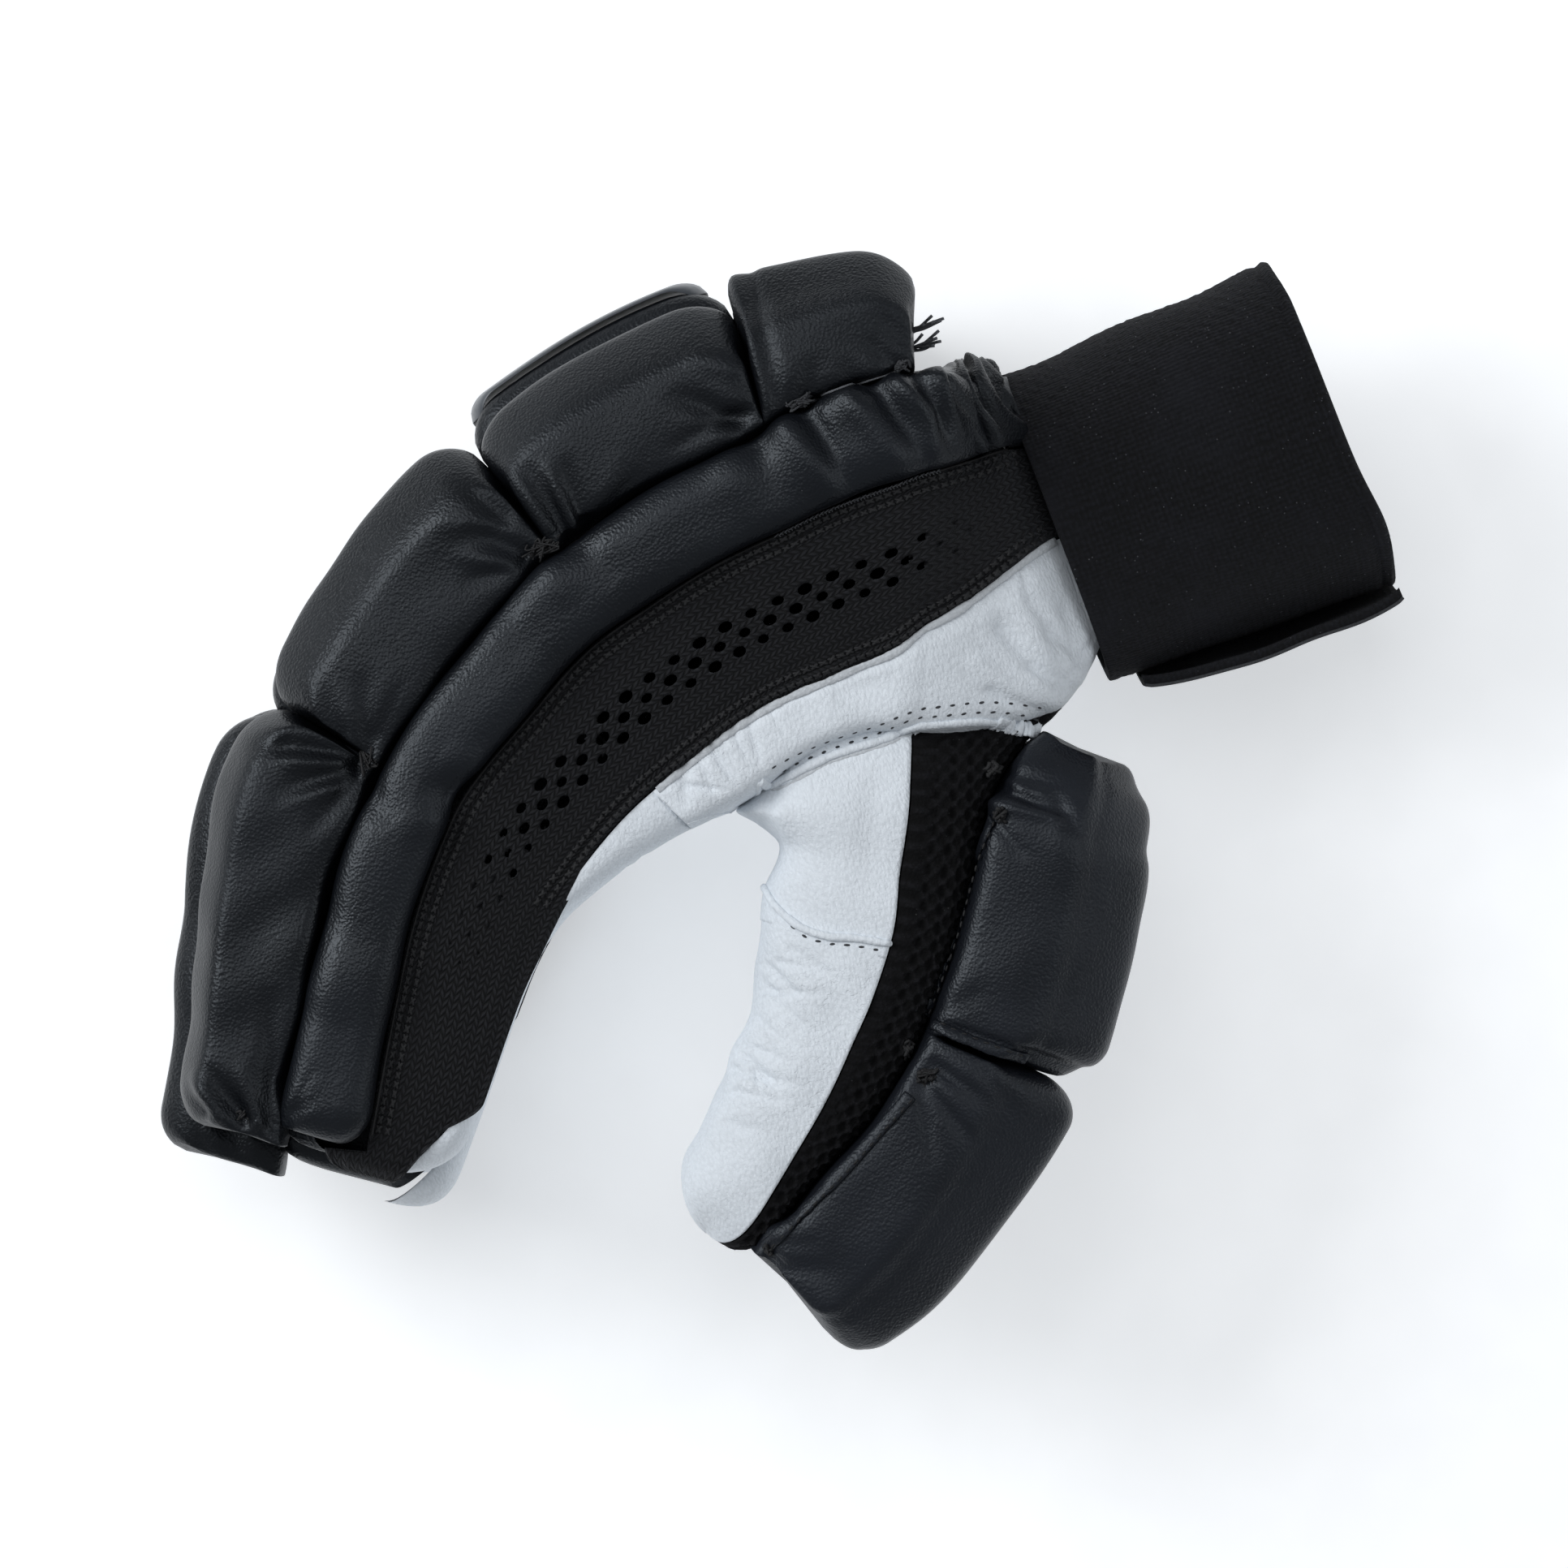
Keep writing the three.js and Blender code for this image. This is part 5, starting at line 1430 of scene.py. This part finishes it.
def base_relief(run, level, side):
    """Folds and mask of the leather at the thumb's base."""
    folds = grooves(run, level, THUMB_LEATHER_FOLDS["base"]) * smooth(side / 0.8)
    return folds + 0.35 * ripple(run, level + 10 * side, 61, size=26), 0.12 + 0 * run * side


def tip_relief(run, level, side):
    """Folds and mask of the leather at the thumb's tip, whose edge is turned under."""
    folds = grooves(run, level, THUMB_LEATHER_FOLDS["tip"])
    near = smooth(side / 0.8)
    edge = -0.5 * smooth((THUMB_SEAM + 1.5 - run) / 1.5)
    mask = np.clip(bell(run - 76, 12) + bell(run - 98, 7), 0, 1)
    return (folds * near + edge + 0.45 * ripple(run, level + 10 * side, 62, size=20)
            * smooth((run - 60) / 10)), mask * (0.35 + 0.65 * near) + 0.08


def thumb_mesh(sizes):
    """Spacer mesh of the thumb's back and sides: round pits on a staggered lattice, counted in
    arc length round the section, with ribs between them and a fine fuzz."""
    cell, depth = sizes.cell / MM, sizes.cell_depth / MM
    run = to_tip(THUMB_BASE, THUMB_RUN, THUMB_TIP_ROUND, 0.66, 20)[:, None]
    close = tip_close(run, THUMB_RUN, THUMB_TIP_ROUND, THUMB_TIP_POWER)
    side, high = superellipse(112, 6, 1.2)
    low, top = thumb_size("split", run), thumb_size("seat", run)

    def shell(inset):
        return thumb(run, close, low + (top - inset - low) * high,
                     (thumb_size("width", run) - inset) * side)
    outer = shell(0)
    length = np.linalg.norm(np.diff(outer, axis=1), axis=2) / MM
    v = np.concatenate([np.zeros((len(run), 1)), np.cumsum(length, 1)], 1)
    du, dv = lattice(run + 0 * v, v - 2.0, cell, cell * 0.5)
    pits = -depth * smooth((1.25 - np.hypot(du / (cell * 0.42), dv / (cell * 0.36))) / 0.8)
    fuzz = 0.10 * ripple(run, v, 71, waves=16, size=1.6)
    rib = 0.25 * np.cos(2 * math.pi * v / cell)
    edge = np.minimum(v, v[:, -1:] - v)
    bare = smooth((np.abs(side) - 0.55) / 0.2)
    outer = raised(outer, ((pits + rib) * bare + fuzz) * smooth(edge / 1.5), ring=False)
    uv = np.stack([run * MM + 0 * v, v * MM], -1)
    # The mask is the pits' depth, which the spacer mesh's material paints dark as shade in the
    # pits.
    return wall(outer, shell(WALL), uv, mask=np.clip(-pits / depth, 0, 1))


class GLOVE_OT_thumb_sleeve(bpy.types.Operator):
    """White leather front and spacer-mesh back of the thumb"""
    bl_idname = "glove.thumb_sleeve"
    bl_label = "Thumb sleeve"

    def execute(self, context):
        for name, first, last, relief, pitch in (
                ("base", THUMB_BASE, THUMB_SEAM + 3.5, base_relief, 0.8),
                ("tip", THUMB_SEAM, THUMB_RUN, tip_relief, 0.55)):
            build(f"thumb_{name}_leather_white", [thumb_leather(first, last, relief, pitch)],
                  [material("white")], [f"thumb_{name}_leather"])
        build("thumb_gusset_mesh", [thumb_mesh(context.scene.glove_sizes)], [material("mesh")],
              ["thumb_gusset"])
        return {"FINISHED"}


THUMB_ROLL_FOLDS = {
    # run, rise to run, rise, width, depth
    "upper": [(15, 23, 17, 42, 1.8, 2.2), (20, 23, 19, 42, 1.9, -1.4), (11, 24, 9, 40, 2.0, 1.0),
              (25, 25, 33, 34, 1.7, 1.0), (13, 37, 23, 44, 1.8, 1.2), (24, 40, 38, 44, 3.0, -0.5),
              (68, 24, 60, 34, 2.6, 0.6)],
    "lower": [(83, 25, 92, 42, 1.8, 2.0), (80, 26, 84, 44, 1.8, 1.6), (86, 25, 99, 36, 1.8, 1.3),
              (84, 28, 90, 42, 1.3, -1.2), (132, 12, 138, 30, 2.6, 1.7),
              (134, 13, 126, 29, 2.4, 1.2), (137, 19, 142, 33, 2.6, 1.3),
              (130, 12, 122, 23, 2.4, 1.0), (135, 19, 140, 36, 1.5, -1.4),
              (78, 38, 84, 50, 2.4, 0.9)],
}


def thumb_roll(name, start, end, lean):
    """A padded roll outside the thumb: two side faces and a crown, with a soft ridge between,
    ends rounded as a quarter circle and its underside pulled back by lean at the tip end."""
    run = stations(start, end, 0.8, END_ROUND, 0.4)[:, None]
    from_end = np.minimum(run - start, end - run)
    # The wrist end falls off less than the others.
    fall = np.where(run < 20, THUMB_WRIST_FALL, THUMB_END_FALL)
    keep = 1 - fall * round_over(from_end, END_ROUND)
    middle = (start + end) / 2
    shoulder = float(thumb_size("shoulder", middle) / thumb_size("crown", middle))
    outline = rounded([(0, -1), (0, 1), (shoulder, 1), (1, 0.35), (1, -0.35), (shoulder, -1)],
                      0.15, (THUMB_ROLL_HEIGHT, THUMB_ROLL_WIDTH / 2), 130)
    half = THUMB_ROLL_WIDTH / THUMB_WIDTH * thumb_size("width", run) * (0.85 + 0.15 * keep)
    tall, edge = thumb_size("crown", run) * keep, thumb_size("shoulder", run) * keep
    share = outline[:, 0][None]
    height = np.where(share < shoulder, share / shoulder * edge,
                      edge + (share - shoulder) / (1 - shoulder) * (tall - edge))
    across = outline[:, 1] * half
    near = np.maximum(0, 1 - (end - run) / (3 * ROLL_ROUND))
    at = run - lean * near * (1 - height / THUMB_ROLL_HEIGHT)
    wrap = 4.5 * smooth((run - THUMB_RUN + 16) / 12) * (1 - share) ** 2
    rise = seat_under(run) - 0.1 + height - wrap
    points = thumb_bend(at, rise, across)
    side = smooth((outline[:, 1][None] - 0.3) / 0.6)
    folds = grooves(at, rise, THUMB_ROLL_FOLDS[name]) * side
    # The upper roll's tip end has a piped, stitched edge.
    pipe = bell(end - run - 0.9, 0.7) - bell(end - run - 3.0, 1.0)
    pipe = pipe * (0.7 if name == "upper" else 0.0)
    ridge = bell(share - shoulder, 0.06)
    groove = (0.28 * ridge * np.abs(outline[:, 1][None])
              - 0.22 * bell(share - shoulder - 0.10, 0.05))
    soft = 0.35 * ripple(run, rise + 12 * outline[:, 1], 80 + len(name), size=26)
    base = bell(height, 3.0)
    relief = (folds + pipe * (1 - base) + groove + soft * smooth(from_end / 6)
              - ROUNDED_OFF * round_over(from_end, 8.0) * side * (1 - base))
    mask = np.clip(0.12 * np.abs(folds) + 0.15 * ridge * side, 0, 1)
    return padded_roll(points, relief, mask)


class GLOVE_OT_thumb_rolls(bpy.types.Operator):
    """Two padded rolls on the outside of the thumb"""
    bl_idname = "glove.thumb_rolls"
    bl_label = "Thumb rolls"

    def execute(self, context):
        middle = 0.54 * THUMB_RUN
        for name, start, end, lean in (("upper", -3, middle - 0.03, 0),
                                       ("lower", middle + 0.03, THUMB_RUN + 4, 8)):
            build(f"thumb_{name}_roll_leather", [thumb_roll(name, start, end, lean)],
                  [material("thumb")], [f"thumb_{name}_roll"])
        return {"FINISHED"}


CAMERA_PLACE = (np.array([-151.6, -33.3, EYE_LEVEL + 2000]) + SHIFT) * MM


def traced(line, points, count):
    """Curve through a few (run, rise) points of the hand or the thumb, at the eye level, in
    metres. The thumb's rise is counted the other way."""
    p = spline(points, count)
    return bend(line, p[:, 0], p[:, 1] if line is HAND_LINE else -p[:, 1], EYE_LEVEL)


def along_seam(name, run, off):
    """Curve at the eye level along one of the sleeve's seams, off millimetres above it."""
    return bend(HAND_LINE, run, seam(name, run) + off, EYE_LEVEL)


def laid(targets, pieces, lift=0.0):
    """Points dropped from the camera's place onto the first of some pieces that they meet, and
    lifted along its normal: (places, normals), without the points that meet none."""
    pieces = [bpy.data.objects[name] for name in pieces]
    start = Vector(CAMERA_PLACE)
    places, ups = [], []
    for target in targets:
        way = (Vector(target) - start).normalized()
        hits = [hit for hit in (piece.ray_cast(start, way) for piece in pieces) if hit[0]]
        if hits:
            near = min(hits, key=lambda hit: (hit[1] - start).length)
            places.append(near[1])
            ups.append(near[2])
    if len(places) < 2:
        raise RuntimeError(f"nothing of {[piece.name for piece in pieces]} under the path")
    places, ups = np.array(places), np.array(ups)
    ups = (ups + np.r_[ups[:1], ups[:-1]] + np.r_[ups[1:], ups[-1:]]) / 3
    ups /= np.linalg.norm(ups, axis=1, keepdims=True)
    return places + ups * lift * MM, ups


def ribbon(targets, pieces, width, thick, lift, seed, rough, material=0):
    """A flat band laid on the surface, whose width wanders by a share of itself."""
    places, ups = laid(targets, pieces, lift)
    rng = np.random.default_rng(seed)
    wander = np.convolve(rng.normal(size=len(places) + 8), np.ones(9) / 3, "valid")
    return tube(places, width / 2 * (1 + rough * wander), 12, thick / width, ups, material)


def sewn(targets, pieces, pitch, size, lift, slope, seed, material=0):
    """A row of stitches laid on the surface: beads pitch apart, each turned by slope radians
    from the row's direction, with a little seeded unevenness."""
    places, ups = laid(resampled(targets, pitch), pieces, lift)
    along = np.gradient(places, axis=0)
    along -= (along * ups).sum(1, keepdims=True) * ups
    along /= np.linalg.norm(along, axis=1, keepdims=True)
    rng = np.random.default_rng(seed)
    turn = slope + rng.normal(0, 0.09, len(places))[:, None]
    along = along * np.cos(turn) + np.cross(ups, along) * np.sin(turn)
    sizes = np.array(size) * (1 + rng.normal(0, 0.07, (len(places), 3)))
    return copies(bead(), places, along, ups, sizes, material)


def tangle(centre, spread, count, seed, radius, material):
    """Threads caught together: short curved tubes through seeded points round a place."""
    rng = np.random.default_rng(seed)
    parts = []
    for _ in range(count):
        ends = rng.normal(0, 1, (4, 3)) * np.array(spread) * MM * 0.55
        parts.append(tube(centre + spline(ends, 14), radius * rng.uniform(0.7, 1.3), 6,
                          up=(0.3, 0.2, 0.93), material=material))
    return parts


class GLOVE_OT_leather_edges(bpy.types.Operator):
    """Raw edges, hems, folded joins and needle holes of the white leather"""
    bl_idname = "glove.leather_edges"
    bl_label = "Leather edges"

    def execute(self, context):
        pitch = context.scene.glove_sizes.needle_pitch / MM
        palm = ["palm_leather_white", "index_gusset_knit"]
        root = palm + ["thumb_base_leather_white", "thumb_gusset_mesh"]
        sleeve = ["thumb_base_leather_white", "thumb_tip_leather_white", "thumb_gusset_mesh"]
        raw = along_seam("palm", np.linspace(1.5, 124, 150), -0.7)
        hem = traced(HAND_LINE, [(99, -42), (95, -44.5), (72, -45.3), (50, -45), (35, -42.6),
                                 (22, -41), (16, -43.2)], 180)
        # A thin strip under the hem in the cut edge's grey: painted shadow of the hem.
        under = traced(HAND_LINE, [(98, -43), (94, -46), (72, -46.6), (50, -46.3), (35, -43.9),
                                   (22, -42.3), (16, -44.5)], 180)
        join = traced(THUMB_LINE, [(53, -24), (57, -20), (60, -14), (60.5, -7), (59, 0), (58, 8)],
                      90)
        heel = traced(HAND_LINE, [(19, -41.6), (16, -43), (13.6, -44.6), (12, -46)], 40)
        web = traced(HAND_LINE, [(99, -42), (104, -45), (110, -44), (118, -41), (126, -38)], 60)
        parts = [
            ribbon(raw, palm, 1.9, 0.8, 0.05, 1, 0.16, 1),
            ribbon(hem, root, 2.2, 1.5, 0.2, 2, 0.10),
            # Painted shadow under the hem, in the cut edge's grey.
            ribbon(under, root, 1.1, 0.5, -0.1, 3, 0.2, 1),
            ribbon(join, sleeve, 1.9, 1.7, 0.25, 4, 0.08),
            ribbon(heel, root, 4.4, 1.6, 0.1, 6, 0.05),
            ribbon(web, palm, 1.4, 0.8, 0.0, 5, 0.2),
        ]
        build("white_leather_edges", parts, [material("white"), material("edge")])
        rows = [
            traced(HAND_LINE, [(95, -41), (72, -42), (50, -41.6), (36, -39.2), (22, -36.6),
                               (14, -38.6), (8.5, -42.5)], 200),
            traced(HAND_LINE, [(93, -43), (72, -43.9), (50, -43.4), (36, -41), (22, -38.9),
                               (15, -40.6), (11.5, -44)], 200),
            traced(THUMB_LINE, [(57.5, -19), (61.6, -13.5), (62.2, -7), (60.8, 0), (60, 7.5)], 80),
        ]
        holes = [sewn(row, root + sleeve, pitch, (1.35, 0.62, 0.34), 0.02, 0.12, 7 + i)
                 for i, row in enumerate(rows)]
        build("needle_holes", holes, [material("hole")])
        return {"FINISHED"}


KNIT_SIDE = ["index_gusset_knit", "index_bar_leather", "palm_leather_white"]
PADS = [f"index_{row[0]}_leather" for row in ROLL_ROWS] + ["index_bar_leather"]
THUMB_SIDE = ["thumb_upper_roll_leather", "thumb_lower_roll_leather", "thumb_gusset_mesh"]


def knit_chains(run):
    """Two rows of V-shaped chain stitches along both borders of the index finger's knit."""
    chains = []
    for name, way, far in (("bar", -1, 236), ("palm", 1, 170)):
        row = run[run < far]
        for away in (1.5, 3.7):
            line = along_seam(name, row, way * away)
            for slope in (0.5, -0.5):
                chains.append(sewn(line, KNIT_SIDE[:1], 2.2, (2.5, 1.0, 0.8), 0.10, slope,
                                   31 + int(away) + (slope > 0)))
    build("knit_border_chains", chains, [material("knit_thread")])


def seam_threads(run):
    """The bar's seam, its frayed thread near the wrist, and the tie over the first roll."""
    bar_seam = along_seam("bar", run, -0.2)
    hair = along_seam("bar", np.linspace(28, 64, 60), -0.4)
    parts = [
        ribbon(bar_seam, KNIT_SIDE, 0.7, 0.7, 0.0, 11, 0.15),
        sewn(hair, KNIT_SIDE, 0.8, (0.35, 1.7, 0.4), 0.35, 0.2, 12, material=1),
        sewn(hair, KNIT_SIDE, 1.3, (1.9, 0.3, 0.35), 0.5, 0.35, 13, material=1),
    ]
    tie = traced(HAND_LINE, [(52, 35.4), (49, 36.4), (44, 38.1), (38, 40.2), (36, 41.6)], 40)
    parts.append(ribbon(tie, PADS, 0.55, 0.5, 0.3, 14, 0.2, 1))
    build("index_seam_threads", parts, [material("thread"), material("frayed")])


def thumb_flanges():
    """Folded edges along the thumb's rolls, and a row of stitches beside each of them."""
    folded = [(80, [(24, 24.2), (38, 22.6), (52, 22.2), (62, 21.6), (71, 21)]),
              (80, [(88, 24), (98, 20.5), (110, 17), (121, 14.2), (131, 12)]),
              (50, [(72, 23), (72.6, 30), (72.8, 38), (72.4, 46)])]
    stitched = [(count, [(at, rise + 1) for at, rise in line]) for count, line in folded[:2]]
    stitched.append((50, [(71.2, 24), (72, 30), (72.2, 38), (71.8, 46)]))
    flange = [ribbon(traced(THUMB_LINE, line, count), THUMB_SIDE, 3.2, 1.2, 0.3, 15 + i, 0.06)
              for i, (count, line) in enumerate(folded)]
    flange += [sewn(traced(THUMB_LINE, line, count), THUMB_SIDE, 2.7, (1.7, 0.6, 0.7), 0.75,
                    0.1, 18 + i, material=1) for i, (count, line) in enumerate(stitched)]
    build("thumb_roll_flanges", flange, [material("thumb"), material("thread")])


def ties():
    """Matted threads where the pads are tied down, and two frayed tufts."""
    knots = []
    beside = THUMB_SIDE + ["thumb_tip_leather_white", "palm_leather_white"]
    # at (run, rise), spread, strands, material
    for line, pieces, lift, seed, radius, table in (
            (HAND_LINE, PADS, 0.5, 40, 0.27, (
                ((60, 35.5), (6.5, 3.0, 2.0), 20, 0), ((53, 36.5), (4.0, 1.6, 1.4), 12, 0),
                ((36, 42), (2.2, 1.6, 1.4), 10, 0), ((106, 32), (3.6, 2.0, 1.6), 14, 1),
                ((159, 30), (2.0, 3.0, 1.6), 12, 1), ((239, 30), (1.6, 1.6, 1.2), 6, 1))),
            (THUMB_LINE, beside, 0.4, 60, 0.42, (
                ((12, 20.5), (1.8, 1.8, 1.4), 8, 1), ((22, 26), (2.0, 1.6, 1.4), 8, 1),
                ((79, 19), (2.2, 2.0, 1.4), 10, 1), ((83, 26), (2.4, 1.8, 1.4), 10, 1),
                ((131, 13), (1.5, 1.5, 1.2), 6, 1)))):
        for i, (at, spread, count, index) in enumerate(table):
            place, _ = laid(traced(line, [at, (at[0] + 0.1, at[1])], 2), pieces, lift)
            knots += tangle(place[0], spread, count, seed + i, radius, index)
    # Two frayed tufts at the first roll's wrist end: strands that fan out from a knot.
    rng = np.random.default_rng(5)
    for root, ends in (((35.5, 49.0), (32.0, 52.4)), ((35.0, 45.5), (30.8, 48.0))):
        for _ in range(7):
            start = hand(root[0] + rng.normal(0, 0.3), root[1] + rng.normal(0, 0.4), 36.0)
            end = hand(ends[0] + rng.normal(0, 0.9), ends[1] + rng.normal(0, 1.1),
                       36.0 + rng.normal(0, 1.5))
            middle = (start + end) / 2 + rng.normal(0, 0.4, 3) * MM
            path, up = spline([start, middle, end], 14), (0.1, 0.2, 0.97)
            knots.append(tube(path, 0.36, 6, up=up))
            knots.append(tube(path[-3:] + (path[-1] - path[-3]) * 0.6, 0.38, 6, up=up,
                              material=2))
    build("ties_and_thread_ends", knots,
          [material("tie"), material("thread"), material("frayed")])


class GLOVE_OT_threads(bpy.types.Operator):
    """Seams, stitched borders of the knit, ties between the pads and frayed thread ends"""
    bl_idname = "glove.threads"
    bl_label = "Threads"

    def execute(self, context):
        run = np.linspace(3, SLEEVE_RUN - 7, 500)
        knit_chains(run)
        seam_threads(run)
        thumb_flanges()
        ties()
        return {"FINISHED"}


class GLOVE_OT_studio(bpy.types.Operator):
    """Pale floor, soft lights and the camera straight above the glove"""
    bl_idname = "glove.studio"
    bl_label = "Studio"

    def execute(self, context):
        scene = context.scene
        mesh = bpy.data.meshes.new("studio_floor")
        half, low = 3, -0.0004
        mesh.from_pydata([(-half, -half, low), (half, -half, low), (half, half, low),
                          (-half, half, low)], [], [(0, 1, 2, 3)])
        floor = bpy.data.objects.new("studio_floor", mesh)
        n = Nodes("floor_paper")
        fine = n.noise(n.object_place(), 60, 3)
        mesh.materials.append(n.finish(
            Base_Color=n.mix(n.span(fine, 0.3, 0.7), (0.90, 0.91, 0.92, 1), (0.93, 0.94, 0.95, 1)),
            Roughness=0.9, Specular_IOR_Level=0.1, Emission_Color=(0.96, 0.98, 1.0, 1),
            Emission_Strength=0.42))
        scene.collection.objects.link(floor)
        world = bpy.data.worlds.new("studio_world")
        world.use_nodes = True
        sky = world.node_tree.nodes["Background"]
        sky.inputs["Color"].default_value = (0.93, 0.96, 1.0, 1)
        sky.inputs["Strength"].default_value = 0.27
        scene.world = world
        centre = np.array([0.0, 0.0, 0.05])

        def lamp(name, right, up, height, size, power, tint=(1, 1, 1)):
            data = bpy.data.lights.new(name, "AREA")
            data.shape, data.size, data.energy, data.color = "SQUARE", size, power, tint
            thing = bpy.data.objects.new(name, data)
            x = right * math.cos(CAMERA_TURN) - up * math.sin(CAMERA_TURN)
            y = right * math.sin(CAMERA_TURN) + up * math.cos(CAMERA_TURN)
            place = centre + np.array([x, y, height])
            thing.location = place
            way = Vector(centre - place)
            thing.rotation_euler = way.to_track_quat("-Z", "Y").to_euler()
            scene.collection.objects.link(thing)
        lamp("softbox_left", -0.95, 0.45, 0.85, 0.7, 10.5, (0.97, 0.985, 1.0))
        lamp("softbox_right", 0.95, 0.1, 0.8, 0.7, 2.2, (0.96, 0.98, 1.0))
        lamp("softbox_top", -0.15, 0.5, 1.5, 0.8, 4.0, (0.97, 0.98, 1.0))
        data = bpy.data.cameras.new("photo_camera")
        data.lens, data.sensor_width = CAMERA_LENS, 36
        data.clip_start, data.clip_end = 0.1, 50
        camera = bpy.data.objects.new("photo_camera", data)
        camera.location = CAMERA_PLACE
        camera.rotation_euler = (0, 0, CAMERA_TURN)
        scene.collection.objects.link(camera)
        scene.camera = camera
        scene.view_settings.view_transform = "Standard"
        scene.view_settings.look = "None"
        return {"FINISHED"}


OPERATORS = (
    GLOVE_OT_studio, GLOVE_OT_palm, GLOVE_OT_wristband, GLOVE_OT_wrist_skirt, GLOVE_OT_gussets,
    GLOVE_OT_finger_sleeves, GLOVE_OT_side_bars, GLOVE_OT_finger_rolls, GLOVE_OT_back_plate,
    GLOVE_OT_thumb_sleeve, GLOVE_OT_thumb_rolls, GLOVE_OT_leather_edges, GLOVE_OT_threads,
)


class GLOVE_PT_panel(bpy.types.Panel):
    """Buttons for the glove's pieces, and its sizes and colours"""
    bl_idname = "GLOVE_PT_panel"
    bl_label = "Cricket batting glove"
    bl_space_type = "VIEW_3D"
    bl_region_type = "UI"
    bl_category = "Glove"

    def draw(self, context):
        for group in (context.scene.glove_sizes, context.scene.glove_colours):
            box = self.layout.box()
            for name in group.__annotations__:
                box.prop(group, name)
        for operator in OPERATORS:
            self.layout.operator(operator.bl_idname)


CLASSES = (GloveSizes, GloveColours, *OPERATORS, GLOVE_PT_panel)


def register():
    for cls in CLASSES:
        bpy.utils.register_class(cls)
    bpy.types.Scene.glove_sizes = bpy.props.PointerProperty(type=GloveSizes)
    bpy.types.Scene.glove_colours = bpy.props.PointerProperty(type=GloveColours)


def unregister():
    del bpy.types.Scene.glove_colours
    del bpy.types.Scene.glove_sizes
    for cls in reversed(CLASSES):
        bpy.utils.unregister_class(cls)


def main():
    """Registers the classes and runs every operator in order."""
    register()
    for operator in OPERATORS:
        group, name = operator.bl_idname.split(".")
        getattr(getattr(bpy.ops, group), name)()


if __name__ == "__main__":
    main()
